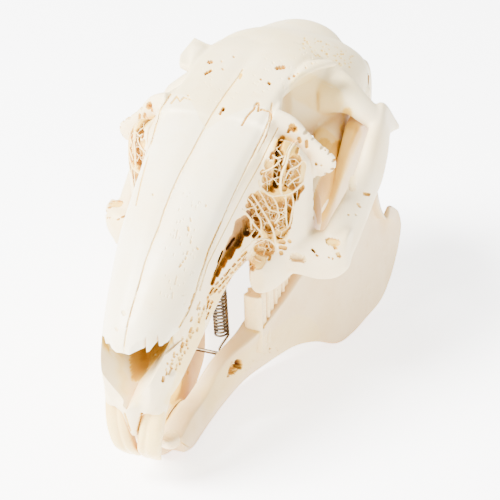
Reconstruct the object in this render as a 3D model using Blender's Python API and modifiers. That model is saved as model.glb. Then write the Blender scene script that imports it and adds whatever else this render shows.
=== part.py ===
# Rabbit skull, life size, mounted with its jaw on a wire and a spring.
# The shapes are worked out in millimetres in a frame of the animal's own: the midline at x = 0 with its
# left at +x, y running back from the tip of the nose, z up, the cheek teeth level. The last section tips
# the whole skull on to its chin and jaw angles, centres it and turns it into metres.

import math

import bmesh
import bpy
import numpy as np
from mathutils import Matrix, Vector

for old in list(bpy.data.objects):
    bpy.data.objects.remove(old, do_unlink=True)

MM = 0.001
GAP = 0.3
HALF_GAP = GAP / 2
REST_PITCH = math.radians(9.75)
FLOOR_FLAT = 0.2
FAR = 60.0

NASAL_LENGTH = 41.6
TOOTH_LINE = 24.6

BONE_VOXEL = 0.55
JAW_VOXEL = 0.4
CRANIUM_TRIANGLES = 5600
MANDIBLE_TRIANGLES = 1250

parts = bpy.data.collections.new("rabbit_skull")
cutters = bpy.data.collections.new("cutters")
bpy.context.scene.collection.children.link(parts)
bpy.context.scene.collection.children.link(cutters)
cutters.hide_render = True


# Materials

def finish(name, colour, roughness, metallic=0.0):
    material = bpy.data.materials.new(name)
    material.use_nodes = True
    shader = material.node_tree.nodes["Principled BSDF"]
    shader.inputs["Base Color"].default_value = (*colour, 1.0)
    shader.inputs["Roughness"].default_value = roughness
    shader.inputs["Metallic"].default_value = metallic
    material.diffuse_color = (*colour, 1.0)
    return material


NASAL_BONE = finish("nasal_bone", (0.84, 0.82, 0.76), 0.45)
FACE_BONE = finish("face_bone", (0.82, 0.75, 0.62), 0.5)
CRANIUM_BONE = finish("cranium_bone", (0.85, 0.78, 0.67), 0.5)
JAW_BONE = finish("jaw_bone", (0.76, 0.66, 0.52), 0.5)
ENAMEL = finish("enamel", (0.86, 0.8, 0.66), 0.25)
SPRING_STEEL = finish("spring_steel", (0.14, 0.11, 0.08), 0.35, 1.0)


# Curves through a few stations, and lofts along them

def smooth(rows, count):
    """Reads rows of numbers, the first column rising, on one smooth curve at even steps of the row."""
    rows = np.array(rows, dtype=float)
    place = np.linspace(0.0, len(rows) - 1.0, count)
    low = np.clip(place.astype(int), 0, len(rows) - 2)
    part = (place - low)[:, None]
    before = rows[np.clip(low - 1, 0, None)]
    first = rows[low]
    second = rows[low + 1]
    after = rows[np.clip(low + 2, None, len(rows) - 1)]
    slope_first = (second - before) / 2
    slope_second = (after - first) / 2
    cubic = 2 * first - 2 * second + slope_first + slope_second
    square = 3 * (second - first) - 2 * slope_first - slope_second
    return ((cubic * part + square) * part + slope_first) * part + first


def mesh_object(name, vertices, faces, collection=cutters):
    mesh = bpy.data.meshes.new(name)
    mesh.from_pydata([tuple(vertex) for vertex in vertices], [], faces)
    made = bmesh.new()
    made.from_mesh(mesh)
    bmesh.ops.recalc_face_normals(made, faces=made.faces)
    made.to_mesh(mesh)
    made.free()
    thing = bpy.data.objects.new(name, mesh)
    collection.objects.link(thing)
    return thing


def loft(name, rings):
    """Closed skin over rings that have the same number of points each, with both ends capped."""
    size = len(rings[0])
    vertices = np.concatenate(rings)
    faces = []
    for ring in range(len(rings) - 1):
        for corner in range(size):
            following = (corner + 1) % size
            low = ring * size
            high = low + size
            faces.append((low + corner, low + following, high + following, high + corner))
    faces.append(tuple(range(size)))
    faces.append(tuple(range(len(vertices) - 1, len(vertices) - 1 - size, -1)))
    return mesh_object(name, vertices, faces)


def egg_ring(width, top, wide, bottom, square_up, square_down, sides):
    """Outline with its widest line at height wide, its upper and lower halves each as square as told."""
    turn = np.linspace(0.0, 2 * math.pi, sides, endpoint=False)
    across = np.cos(turn)
    up = np.sin(turn)
    power = np.where(up >= 0, 2.0 / square_up, 2.0 / square_down)
    reach = np.where(up >= 0, top - wide, wide - bottom)
    x = width * np.sign(across) * np.abs(across) ** power
    z = wide + reach * np.sign(up) * np.abs(up) ** power
    return x, z


def bone(name, axis, stations, steps=14, sides=20, lean=0.0):
    """Loft along y or x. A station is (place, centre, top, wide, bottom, half width, square up, down).
    Lean pushes each outline sideways by that much for every millimetre above its widest line."""
    rings = []
    for place, centre, top, wide, bottom, width, up, down in smooth(stations, steps):
        across, z = egg_ring(width, top, wide, bottom, up, down, sides)
        across = across + lean * (z - wide)
        along = np.full(sides, place)
        if axis == "y":
            rings.append(np.column_stack((centre + across, along, z)))
        else:
            rings.append(np.column_stack((along, centre + across, z)))
    return loft(name, rings)


def ball(name, centre, radii, segments=20):
    made = bmesh.new()
    bmesh.ops.create_uvsphere(made, u_segments=segments, v_segments=segments // 2, radius=1.0)
    bmesh.ops.transform(made, matrix=Matrix.LocRotScale(centre, None, radii), verts=made.verts)
    mesh = bpy.data.meshes.new(name)
    made.to_mesh(mesh)
    made.free()
    thing = bpy.data.objects.new(name, mesh)
    cutters.objects.link(thing)
    return thing


def rod(name, start, end, radius_start, radius_end, segments=16):
    """Round bar between two points, thicker at one end if told."""
    start = Vector(start)
    end = Vector(end)
    made = bmesh.new()
    bmesh.ops.create_cone(made, cap_ends=True, segments=segments, radius1=radius_start,
                          radius2=radius_end, depth=(end - start).length)
    turn = (end - start).to_track_quat("Z", "Y")
    bmesh.ops.transform(made, matrix=Matrix.LocRotScale((start + end) / 2, turn, None), verts=made.verts)
    mesh = bpy.data.meshes.new(name)
    made.to_mesh(mesh)
    made.free()
    thing = bpy.data.objects.new(name, mesh)
    cutters.objects.link(thing)
    return thing


def prism(name, outline, low, high):
    """Upright block over an outline in x and y."""
    rings = [np.array([(x, y, level) for x, y in outline]) for level in (low, high)]
    return loft(name, rings)


def mirrored(thing):
    """The same form on the animal's right."""
    mesh = thing.data.copy()
    mesh.transform(Matrix.Scale(-1.0, 4, (1.0, 0.0, 0.0)))
    mesh.flip_normals()
    twin = bpy.data.objects.new(thing.name + "_right", mesh)
    cutters.objects.link(twin)
    return twin


# Steps that change a mesh

def evaluated(thing):
    graph = bpy.context.evaluated_depsgraph_get()
    return bpy.data.meshes.new_from_object(thing.evaluated_get(graph))


def settle(thing):
    """Applies the modifiers."""
    mesh = evaluated(thing)
    thing.modifiers.clear()
    old = thing.data
    thing.data = mesh
    bpy.data.meshes.remove(old)


def joined(name, things):
    """One object that holds the meshes of several, still overlapping."""
    made = bmesh.new()
    for thing in things:
        made.from_mesh(thing.data)
    mesh = bpy.data.meshes.new(name)
    made.to_mesh(mesh)
    made.free()
    for thing in things:
        bpy.data.objects.remove(thing, do_unlink=True)
    whole = bpy.data.objects.new(name, mesh)
    cutters.objects.link(whole)
    return whole


def fused(thing, voxel, passes):
    """Melts overlapping forms into one skin and rounds off where they meet."""
    melt = thing.modifiers.new("melt", "REMESH")
    melt.mode = "VOXEL"
    melt.voxel_size = voxel
    ease = thing.modifiers.new("ease", "SMOOTH")
    ease.factor = 0.5
    ease.iterations = passes
    settle(thing)


def thinned(thing, triangles):
    """Brings a dense skin down to about a number of triangles."""
    count = sum(len(face.vertices) - 2 for face in thing.data.polygons)
    lighten = thing.modifiers.new("lighten", "DECIMATE")
    lighten.ratio = min(1.0, triangles / count)
    settle(thing)


def boolean(thing, other, operation, solver="EXACT"):
    """The bones are parted with the manifold solver, because the exact one loses the skull there."""
    step = thing.modifiers.new("step", "BOOLEAN")
    step.operation = operation
    step.object = other
    step.solver = solver
    settle(thing)


def largest(thing):
    """Keeps the largest closed surface of a mesh and drops the rest."""
    made = bmesh.new()
    made.from_mesh(thing.data)
    bmesh.ops.remove_doubles(made, verts=made.verts, dist=0.0001)
    bmesh.ops.dissolve_degenerate(made, edges=made.edges, dist=0.0005)
    bmesh.ops.triangulate(made, faces=made.faces)
    groups = []
    left = set(made.verts)
    while left:
        group = set()
        edge = [left.pop()]
        while edge:
            vertex = edge.pop()
            group.add(vertex)
            for link in vertex.link_edges:
                other = link.other_vert(vertex)
                if other in left:
                    left.discard(other)
                    edge.append(other)
        groups.append(group)
    groups.sort(key=len)
    for group in groups[:-1]:
        bmesh.ops.delete(made, geom=list(group), context="VERTS")
    bmesh.ops.recalc_face_normals(made, faces=made.faces)
    made.to_mesh(thing.data)
    made.free()


def copy_of(thing, name):
    twin = bpy.data.objects.new(name, thing.data.copy())
    cutters.objects.link(twin)
    return twin


# Forms of the cranium. Columns: place, centre, top, widest, bottom, half width, squareness up and down.

ROSTRUM = (
    (0.6, 0, 37.2, 32.0, 22.6, 3.8, 2.0, 2.8),
    (2.8, 0, 40.0, 33.0, 22.2, 4.7, 2.0, 2.8),
    (7.0, 0, 43.2, 35.5, 22.8, 5.9, 2.0, 2.4),
    (12.0, 0, 46.1, 39.6, 24.2, 6.7, 2.0, 2.2),
    (17.0, 0, 48.4, 43.2, 25.2, 7.4, 2.0, 2.1),
    (23.0, 0, 50.7, 46.4, 26.0, 7.8, 2.2, 2.1),
    (30.0, 0, 52.7, 48.4, 26.6, 8.6, 2.4, 2.3),
    (36.0, 0, 53.9, 49.4, 27.2, 9.8, 2.6, 2.6),
    (41.0, 0, 54.6, 49.6, 28.6, 10.6, 2.9, 2.8),
    (45.0, 0, 54.8, 48.0, 33.0, 8.4, 2.9, 2.6),
    (48.0, 0, 54.4, 46.0, 35.0, 4.6, 2.6, 2.4))
FRONTAL_ROOF = (
    (38.0, 0, 54.4, 52.6, 49.0, 9.2, 3.2, 2.4),
    (42.0, 0, 54.9, 53.2, 49.0, 9.7, 3.2, 2.4),
    (46.0, 0, 55.2, 53.6, 49.0, 8.6, 3.2, 2.4),
    (49.5, 0, 55.5, 54.0, 49.0, 7.9, 3.2, 2.4),
    (54.0, 0, 55.5, 53.8, 49.0, 8.6, 3.0, 2.4),
    (59.0, 0, 55.2, 52.6, 48.0, 9.4, 2.6, 2.4),
    (64.0, 0, 54.2, 50.0, 46.0, 10.2, 2.4, 2.4))
SEPTUM = (
    (42.0, 0, 53.0, 44.0, 33.0, 6.0, 3, 3),
    (47.0, 0, 53.0, 44.0, 33.6, 4.3, 3, 3),
    (54.0, 0, 53.6, 44.0, 34.2, 4.0, 3, 3),
    (59.0, 0, 54.0, 44.0, 34.8, 5.4, 3, 3),
    (64.0, 0, 54.0, 44.0, 35.2, 8.0, 3, 3))
BRAINCASE = (
    (57.0, 0, 54.4, 46.0, 38.0, 6.4, 2.2, 2.2),
    (61.0, 0, 54.9, 45.0, 36.0, 10.4, 2.1, 2.4),
    (66.0, 0, 54.0, 43.6, 35.2, 13.2, 2.1, 2.5),
    (71.0, 0, 52.4, 42.6, 35.0, 14.1, 2.1, 2.6),
    (76.0, 0, 49.9, 41.8, 35.0, 13.8, 2.1, 2.6),
    (80.0, 0, 47.4, 40.8, 35.0, 12.6, 2.1, 2.6),
    (84.0, 0, 44.4, 40.0, 35.0, 10.2, 2.2, 2.4),
    (87.0, 0, 41.8, 39.2, 35.8, 7.0, 2.4, 2.4))
OCCIPITAL_SHIELD = (
    (75.5, 0, 50.4, 47.0, 42.0, 4.6, 2.6, 3),
    (79.0, 0, 49.8, 46.6, 41.0, 4.8, 2.6, 3),
    (82.0, 0, 48.6, 45.6, 40.0, 4.4, 2.6, 3),
    (84.6, 0, 45.6, 43.0, 39.0, 3.6, 2.6, 3))
CHEEK_PLATE = (
    (7.0, 36.0, 50.5, 42.0, 29.0, 5.0, 2.4, 2.4),
    (10.5, 37.2, 51.5, 42.0, 28.4, 4.2, 2.4, 2.4),
    (13.2, 38.4, 50.5, 40.0, 28.0, 3.2, 2.4, 2.4),
    (15.2, 39.6, 47.5, 38.0, 28.6, 1.9, 2.4, 2.4))
CHEEK_TUBER = (
    (10.5, 38.0, 38.0, 33.0, 27.6, 3.8, 2.4, 2.4),
    (14.0, 38.6, 34.8, 31.4, 26.8, 3.2, 2.4, 2.4),
    (17.0, 39.0, 34.4, 30.8, 26.2, 3.0, 2.4, 2.4),
    (19.6, 39.8, 34.6, 31.0, 26.4, 2.8, 2.4, 2.4),
    (21.3, 40.6, 34.8, 31.6, 27.8, 2.0, 2.4, 2.4))
LACRIMAL_FLAP = (
    (9.0, 41.4, 54.8, 49.0, 44.0, 1.8, 2.4, 2.4),
    (12.0, 42.0, 53.6, 48.5, 42.8, 1.2, 2.4, 2.4),
    (15.0, 42.4, 50.4, 47.0, 42.6, 0.9, 2.4, 2.4),
    (17.4, 42.6, 48.4, 46.4, 43.8, 0.8, 2.4, 2.4),
    (19.0, 42.8, 46.8, 46.0, 45.2, 0.6, 2.4, 2.4))
SUPRAORBITAL = (
    (46.5, 6.8, 54.9, 54.2, 53.4, 1.0, 2, 2),
    (50.0, 7.6, 55.1, 54.4, 53.6, 1.6, 2, 2),
    (53.0, 8.8, 55.2, 54.5, 53.7, 2.3, 2, 2),
    (56.0, 9.8, 55.2, 54.4, 53.6, 3.0, 2, 2),
    (59.0, 11.0, 54.9, 54.1, 53.3, 2.6, 2, 2),
    (61.5, 12.2, 54.4, 53.7, 53.0, 1.2, 2, 2))
ARCH = (
    (39.0, 18.9, 34.8, 31.3, 27.4, 1.9, 2.6, 2.6),
    (43.0, 19.6, 36.6, 32.6, 28.8, 1.8, 2.6, 2.6),
    (47.5, 20.2, 38.2, 34.4, 31.0, 1.6, 2.6, 2.6),
    (52.0, 20.5, 40.2, 36.6, 33.0, 1.5, 2.6, 2.6),
    (56.0, 20.6, 42.6, 38.4, 34.2, 1.4, 2.6, 2.6),
    (60.0, 20.4, 44.0, 40.6, 36.4, 1.3, 2.6, 2.6),
    (64.0, 19.9, 43.4, 40.9, 38.2, 1.1, 2.6, 2.6),
    (68.0, 19.9, 42.6, 39.8, 37.0, 0.9, 2.6, 2.6),
    (71.8, 19.8, 38.8, 37.2, 35.6, 0.7, 2.6, 2.6))
ARCH_LEAN = -0.18
RIGHT_SHIFTS = {
    "arch": (1.4, -1.2, -2.0),
    "cheek_tuber": (0.8, -1.6, -2.0),
    "squamosal_root": (2.0, -0.2, -0.5),
    "supraorbital": (0.5, 0.0, -0.6)}
SQUAMOSAL_ROOT = (
    (10.0, 64.6, 49.4, 46.0, 42.0, 5.4, 2.2, 2.2),
    (14.0, 63.2, 48.4, 45.8, 43.2, 3.6, 2.2, 2.2),
    (17.0, 61.8, 46.6, 44.6, 42.6, 2.9, 2.2, 2.2),
    (20.3, 61.4, 43.9, 42.4, 40.8, 2.3, 2.2, 2.2))
TOOTH_SOCKETS = (
    (33.0, 8.8, 34.0, 31.0, 28.0, 1.6, 2.4, 3),
    (35.5, 9.4, 36.5, 32.0, 26.8, 2.8, 2.4, 3),
    (42.0, 9.8, 38.0, 33.0, 26.6, 3.4, 2.4, 3),
    (48.5, 9.6, 37.0, 33.0, 27.0, 3.0, 2.4, 3),
    (52.6, 9.2, 34.0, 31.5, 28.6, 1.8, 2.4, 3))
PTERYGOID = (
    (48.0, 4.4, 37.0, 33.0, 30.6, 1.0, 2.4, 2.4),
    (54.0, 4.9, 37.0, 33.0, 28.6, 0.9, 2.4, 2.4),
    (60.0, 5.2, 37.5, 34.0, 29.6, 0.9, 2.4, 2.4),
    (64.0, 5.6, 37.5, 35.0, 32.0, 0.9, 2.4, 2.4))
PAROCCIPITAL = (
    (80.0, 11.2, 42.0, 37.0, 33.0, 1.6, 2.4, 2.4),
    (82.5, 11.0, 42.0, 36.0, 30.2, 1.5, 2.4, 2.4),
    (84.6, 10.4, 40.0, 35.0, 30.8, 1.0, 2.4, 2.4))

BULLA_CENTRE = (9.4, 73.4, 33.8)
BULLA_RADII = (4.6, 6.0, 6.0)
MEATUS_START = (10.5, 71.5, 37.0)
MEATUS_END = (13.6, 76.6, 42.4)
MEATUS_RADIUS = 2.5
CONDYLE_CENTRE = (4.3, 85.8, 36.6)
CONDYLE_RADII = (2.4, 2.8, 3.4)

CHEEK_TEETH_UP = 6
CHEEK_TEETH_UP_START = 36.2
CHEEK_TOOTH_LENGTH = 2.65
CHEEK_TOOTH_WIDTH = 4.3


def cheek_tooth(name, centre, length, width, low, high, lean):
    """A peg of enamel with a fold down each side, flat at the chewing end."""
    turn = np.linspace(0.0, 2 * math.pi, 12, endpoint=False)
    fold = 1.0 - 0.16 * np.cos(2 * turn) ** 8
    across = width / 2 * np.sign(np.cos(turn)) * np.abs(np.cos(turn)) ** 0.6 * fold
    along = length / 2 * np.sign(np.sin(turn)) * np.abs(np.sin(turn)) ** 0.6
    rings = []
    for height in (low, high):
        shift = lean * (height - low) / (high - low)
        rings.append(np.column_stack((centre[0] + across + shift, centre[1] + along,
                                      np.full(len(turn), height))))
    return loft(name, rings)


def upper_teeth():
    teeth = []
    for number in range(CHEEK_TEETH_UP):
        end = number in (0, CHEEK_TEETH_UP - 1)
        width = CHEEK_TOOTH_WIDTH * (0.66 if end else 1.0 - 0.04 * abs(number - 2))
        place = CHEEK_TEETH_UP_START + number * CHEEK_TOOTH_LENGTH
        centre = (9.4 + 0.25 * math.sin(number), place)
        teeth.append(cheek_tooth("tooth", centre, CHEEK_TOOTH_LENGTH * 0.98, width,
                                 TOOTH_LINE + HALF_GAP + 0.1 * (number % 2), 32.0, 1.2))
    return teeth


def cranium():
    whole = [bone("rostrum", "y", ROSTRUM, 30, 28),
             bone("frontal_roof", "y", FRONTAL_ROOF, 18, 24),
             bone("septum", "y", SEPTUM, 12, 20),
             bone("braincase", "y", BRAINCASE, 24, 32),
             bone("shield", "y", OCCIPITAL_SHIELD, 8, 16)]
    sides = [bone("cheek_plate", "x", CHEEK_PLATE, 10, 20),
             bone("cheek_tuber", "x", CHEEK_TUBER, 12, 20),
             bone("lacrimal_flap", "x", LACRIMAL_FLAP, 12, 16),
             bone("supraorbital", "y", SUPRAORBITAL, 14, 12),
             bone("arch", "y", ARCH, 22, 14, ARCH_LEAN),
             bone("squamosal_root", "x", SQUAMOSAL_ROOT, 10, 14),
             bone("tooth_sockets", "y", TOOTH_SOCKETS, 12, 18),
             bone("pterygoid", "y", PTERYGOID, 10, 12),
             bone("paroccipital", "y", PAROCCIPITAL, 8, 12),
             ball("bulla", BULLA_CENTRE, BULLA_RADII),
             rod("meatus", MEATUS_START, MEATUS_END, MEATUS_RADIUS, MEATUS_RADIUS - 0.3),
             ball("condyle", CONDYLE_CENTRE, CONDYLE_RADII)]
    twins = [mirrored(side) for side in sides]
    for side, twin in zip(sides, twins):
        twin.data.transform(Matrix.Translation(RIGHT_SHIFTS.get(side.name, (0.0, 0.0, 0.0))))
    skull = joined("cranium", whole + sides + twins)
    fused(skull, BONE_VOXEL, 5)
    return skull


# Openings of the cranium

APERTURE = (
    (-6.0, 0, 34.0, 31.6, 25.8, 8.2, 2.2, 1.4),
    (0.6, 0, 35.7, 32.6, 26.6, 7.2, 2.2, 1.4),
    (4.0, 0, 38.4, 34.0, 27.6, 5.8, 2.2, 1.5),
    (7.4, 0, 41.2, 35.8, 28.6, 5.0, 2.2, 1.6),
    (12.0, 0, 43.0, 37.4, 30.6, 4.6, 2.0, 1.8),
    (17.0, 0, 42.4, 38.4, 34.0, 2.6, 2.0, 2.0))
NASAL_FRONT_LEFT = ((0.7, -9.0), (0.7, 0.8), (2.6, 3.4), (4.0, 3.0), (5.0, 5.8), (9.0, 9.4), (9.0, -9.0))
NASAL_FRONT_RIGHT = ((0.7, -9.0), (0.7, 0.8), (3.0, 2.6), (9.0, 7.4), (9.0, -9.0))
NASAL_FRONT_LOW = 34.6
INCISIVE_SLOT = (
    (13.0, 1.6, 27.5, 25.0, 20.0, 0.7, 2.4, 2.4),
    (17.0, 2.0, 29.5, 25.0, 20.0, 1.2, 2.4, 2.4),
    (24.0, 2.4, 31.0, 25.0, 20.0, 1.7, 2.4, 2.4),
    (34.4, 2.3, 31.0, 25.0, 20.0, 1.5, 2.4, 2.4))
CHOANA = (
    (41.5, 0, 32.0, 28.0, 20.0, 2.4, 2.4, 2.4),
    (46.0, 0, 34.5, 28.0, 20.0, 3.4, 2.4, 2.4),
    (54.0, 0, 34.5, 28.0, 20.0, 3.7, 2.4, 2.4),
    (59.0, 0, 33.0, 28.0, 20.0, 3.2, 2.4, 2.4))
FACE_WINDOW = (
    (8.0, 23.0, 43.4, 41.6, 39.6, 5.4, 2.2, 2.2),
    (12.0, 22.4, 44.4, 41.8, 39.4, 6.8, 2.2, 2.2))
MEATUS_BORE = 1.5
FORAMEN_MAGNUM = (0.0, 89.0, 39.2)
FORAMEN_RADII = (4.4, 4.2, 3.6)


def open_cranium(skull):
    front_right = prism("front", NASAL_FRONT_RIGHT, NASAL_FRONT_LOW, FAR)
    holes = [bone("aperture", "y", APERTURE, 14, 22),
             prism("front", NASAL_FRONT_LEFT, NASAL_FRONT_LOW, FAR),
             mirrored(front_right),
             bone("choana", "y", CHOANA, 8, 14),
             ball("foramen", FORAMEN_MAGNUM, FORAMEN_RADII)]
    bpy.data.objects.remove(front_right, do_unlink=True)
    start = Vector(MEATUS_START)
    end = Vector(MEATUS_END)
    sides = [bone("incisive_slot", "y", INCISIVE_SLOT, 8, 12),
             bone("face_window", "x", FACE_WINDOW, 3, 14),
             rod("meatus_bore", start.lerp(end, 0.6), start.lerp(end, 1.3), MEATUS_BORE, MEATUS_BORE)]
    for hole in holes + sides + [mirrored(side) for side in sides]:
        boolean(skull, hole, "DIFFERENCE")
        bpy.data.objects.remove(hole, do_unlink=True)


# Incisors

UPPER_INCISOR = (
    (27.0, 2.8, 3.8, 1.6, 1.5),
    (22.8, 2.75, 2.1, 1.7, 1.4),
    (19.2, 2.3, 1.4, 1.65, 1.3),
    (16.4, 1.95, 1.9, 1.55, 1.0),
    (14.5, 1.8, 2.8, 1.45, 0.45))
PEG_TOOTH = (
    (25.0, 1.3, 5.6, 0.7, 0.7),
    (21.0, 1.2, 5.0, 0.75, 0.65),
    (18.6, 1.1, 4.7, 0.65, 0.5))
LOWER_INCISOR = (
    (14.0, 2.1, 11.4, 1.4, 1.3),
    (9.6, 2.0, 12.3, 1.5, 1.35),
    (6.8, 1.85, 13.8, 1.45, 1.1),
    (4.9, 1.75, 16.0, 1.35, 0.5))
INCISOR_STEPS = 9
INCISOR_SIDES = 12


def incisor(name, stations, upright):
    """Curved chisel tooth. Columns: place along it, x, the other place, half width, half depth."""
    rings = []
    for place, x, other, width, depth in smooth(stations, INCISOR_STEPS):
        turn = np.linspace(0.0, 2 * math.pi, INCISOR_SIDES, endpoint=False)
        across = x + width * np.sign(np.cos(turn)) * np.abs(np.cos(turn)) ** 0.7
        deep = other + depth * np.sign(np.sin(turn)) * np.abs(np.sin(turn)) ** 0.7
        level = np.full(len(turn), place)
        if upright:
            rings.append(np.column_stack((across, deep, level)))
        else:
            rings.append(np.column_stack((across, level, deep)))
    return loft(name, rings)


# Mandible. Each row is a rib of the bone: the lower end (y, z), the upper end (y, z), the middle of the
# bone at each end (x, x), and the thickness low, in the middle and high.

MANDIBLE_RIBS = (
    (9.6, 9.8, 9.2, 13.2, 2.2, 2.1, 3.2, 3.8, 2.8),
    (13.4, 7.4, 14.0, 13.8, 2.2, 2.2, 2.8, 4.0, 3.0),
    (18.5, 6.6, 20.0, 13.2, 2.2, 2.3, 2.6, 4.0, 2.8),
    (25.0, 6.4, 25.4, 17.0, 2.8, 3.9, 2.4, 4.0, 2.4),
    (32.0, 6.2, 31.4, 19.0, 3.9, 6.6, 2.4, 4.2, 3.6),
    (38.0, 5.4, 37.6, 19.4, 5.6, 7.6, 2.4, 4.6, 4.6),
    (44.0, 5.4, 44.0, 20.0, 8.8, 8.8, 2.4, 4.4, 4.4),
    (48.4, 3.8, 49.6, 22.6, 11.6, 10.8, 2.4, 3.0, 3.4),
    (52.4, 0.9, 54.4, 30.0, 14.2, 13.4, 2.6, 1.6, 2.0),
    (57.0, 0.0, 59.0, 38.0, 15.6, 14.6, 2.6, 1.4, 1.8),
    (62.0, 0.0, 63.6, 41.0, 16.8, 15.0, 2.4, 1.3, 2.8),
    (66.4, 0.6, 68.0, 40.4, 18.0, 15.6, 2.4, 1.3, 2.6),
    (70.4, 2.0, 67.6, 34.0, 18.5, 16.2, 2.2, 1.3, 1.8),
    (74.0, 4.6, 66.4, 27.0, 18.8, 17.2, 2.0, 1.3, 1.6),
    (76.8, 8.4, 66.8, 22.0, 19.0, 18.0, 1.8, 1.3, 1.6),
    (77.6, 12.2, 69.4, 18.8, 19.2, 18.7, 1.6, 1.3, 1.5),
    (76.4, 15.8, 71.4, 18.6, 19.3, 19.0, 1.4, 1.2, 1.3),
    (74.2, 18.8, 72.4, 19.6, 19.3, 19.2, 1.0, 1.0, 0.9))
RIB_COUNT = 40
RIB_STEPS = 7
JAW_HEAD_CENTRE = (15.5, 65.8, 40.5)
JAW_HEAD_RADII = (1.7, 3.6, 1.4)
MENTAL_INNER = (3.2, 27.4, 13.4)
MENTAL_OUTER = (9.0, 26.6, 13.6)
SYMPHYSIS = (0.0, 13.4, 10.8)
SYMPHYSIS_RADII = (2.4, 6.0, 2.8)
LOWER_TEETH = 5
LOWER_TEETH_START = 34.2
LOWER_TOOTH_LENGTH = 3.0
LOWER_TOOTH_WIDTH = 3.4
LOWER_TOOTH_ROOT = 13.0


def mandible_rings(count):
    rings = []
    for low_y, low_z, high_y, high_z, low_x, high_x, thick_low, thick_mid, thick_high in smooth(
            MANDIBLE_RIBS, count):
        rise = np.linspace(0.0, 1.0, RIB_STEPS)
        rise = (1 - np.cos(rise * math.pi)) / 2
        y = low_y + (high_y - low_y) * rise
        z = low_z + (high_z - low_z) * rise
        x = low_x + (high_x - low_x) * rise
        middle = np.sin(rise * math.pi)
        thick = thick_low * (1 - rise) + thick_high * rise
        thick = thick * (1 - middle) + thick_mid * middle
        edge = np.where((rise < 0.001) | (rise > 0.999), 0.35, 0.5)
        outer = np.column_stack((x + thick * edge, y, z))
        inner = np.column_stack((x - thick * edge, y, z))
        rings.append(np.concatenate((outer, inner[::-1])))
    return rings


def lower_teeth():
    teeth = []
    for number in range(LOWER_TEETH):
        last = number == LOWER_TEETH - 1
        width = LOWER_TOOTH_WIDTH * (0.7 if last else 1.0 - 0.03 * number)
        place = LOWER_TEETH_START + number * LOWER_TOOTH_LENGTH * 0.97
        centre = (7.2 + 0.3 * number, place)
        height = TOOTH_LINE - HALF_GAP - 0.05 * (number + 1)
        teeth.append(cheek_tooth("tooth", centre, LOWER_TOOTH_LENGTH * 0.94, width,
                                 LOWER_TOOTH_ROOT, height, 0.2))
    return teeth


def mandible():
    """The left half, with a flat face at the symphysis where the right half meets it."""
    jaw = loft("mandible", mandible_rings(RIB_COUNT))
    head = ball("condyle", JAW_HEAD_CENTRE, JAW_HEAD_RADII, 12)
    chin = ball("symphysis", SYMPHYSIS, SYMPHYSIS_RADII, 16)
    jaw = joined("mandible", [jaw, head, chin] + lower_teeth())
    fused(jaw, JAW_VOXEL, 2)
    thinned(jaw, MANDIBLE_TRIANGLES)
    mental = rod("mental", MENTAL_INNER, MENTAL_OUTER, 1.0, 1.4, 10)
    other_side = prism("other_side", ((HALF_GAP, -FAR), (HALF_GAP, 2 * FAR), (-FAR, 2 * FAR), (-FAR, -FAR)),
                       -FAR, 2 * FAR)
    front = incisor("incisor", LOWER_INCISOR, False)
    for other, operation in ((mental, "DIFFERENCE"), (other_side, "DIFFERENCE"), (front, "UNION")):
        boolean(jaw, other, operation)
        bpy.data.objects.remove(other, do_unlink=True)
    return jaw


# Cells that part the skull into its bones

def cell(name, rows, grow):
    """Block along y. A row is (y, inner x, outer x, low z, high z); grow moves every side outwards."""
    rings = []
    for number, (y, inner, outer, low, high) in enumerate(rows):
        y = y + grow * ((number == len(rows) - 1) - (number == 0))
        inner = inner - grow
        outer = outer + grow
        low = low - grow
        high = high + grow
        rings.append(np.array(((inner, y, low), (outer, y, low), (outer, y, high), (inner, y, high))))
    return loft(name, rings)


NASAL_CELL = (
    (-9.0, HALF_GAP, 6.2, 33.0, FAR + 20),
    (7.8, HALF_GAP, 6.6, 37.0, FAR + 20),
    (16.5, HALF_GAP, 7.1, 43.6, FAR + 20),
    (26.6, HALF_GAP, 7.7, 48.0, FAR + 20),
    (35.0, HALF_GAP, 8.2, 51.0, FAR + 20),
    (NASAL_LENGTH, 6.0, 8.6, 52.2, FAR + 20))
PREMAXILLA_CELL = (
    (-9.0, HALF_GAP, 30.0, 10.0, FAR + 20),
    (15.0, HALF_GAP, 30.0, 10.0, FAR + 20))
MAXILLA_CELL = (
    (15.0 + GAP, HALF_GAP, 18.0, 10.0, FAR + 20),
    (36.0, HALF_GAP, 24.0, 10.0, FAR + 20),
    (43.4, HALF_GAP, 24.0, 10.0, FAR + 20))
SOCKET_CELL = (
    (31.0, 5.2, 13.2, 20.0, 30.6),
    (53.0, 5.2, 13.2, 20.0, 30.6))
ARCH_CELL = (
    (43.4 + GAP, 16.4, 30.0, 20.0, 52.0),
    (54.0, 17.2, 30.0, 20.0, 52.0),
    (75.0, 17.6, 30.0, 20.0, 52.0))
BULLA_CELL = (
    (66.0, 3.6, 20.0, 20.0, 34.4),
    (80.2, 3.6, 20.0, 20.0, 34.4))
FRONTAL_CELL = (
    (41.0, -FAR, FAR, 10.0, FAR + 20),
    (61.0, -FAR, FAR, 10.0, FAR + 20))
PARIETAL_CELL = (
    (61.0 + GAP, -FAR, FAR, 10.0, FAR + 20),
    (78.6, -FAR, FAR, 10.0, FAR + 20))
OCCIPITAL_CELL = (
    (78.6 + GAP, -FAR, FAR, 10.0, FAR + 20),
    (100.0, -FAR, FAR, 10.0, FAR + 20))


def keep_node(thing, name, material):
    largest(thing)
    thing.name = name
    thing.data.name = name
    thing.data.materials.clear()
    thing.data.materials.append(material)
    thing.data.shade_smooth()
    thing.data.set_sharp_from_angle(angle=math.radians(50))
    cutters.objects.unlink(thing)
    parts.objects.link(thing)


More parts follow.
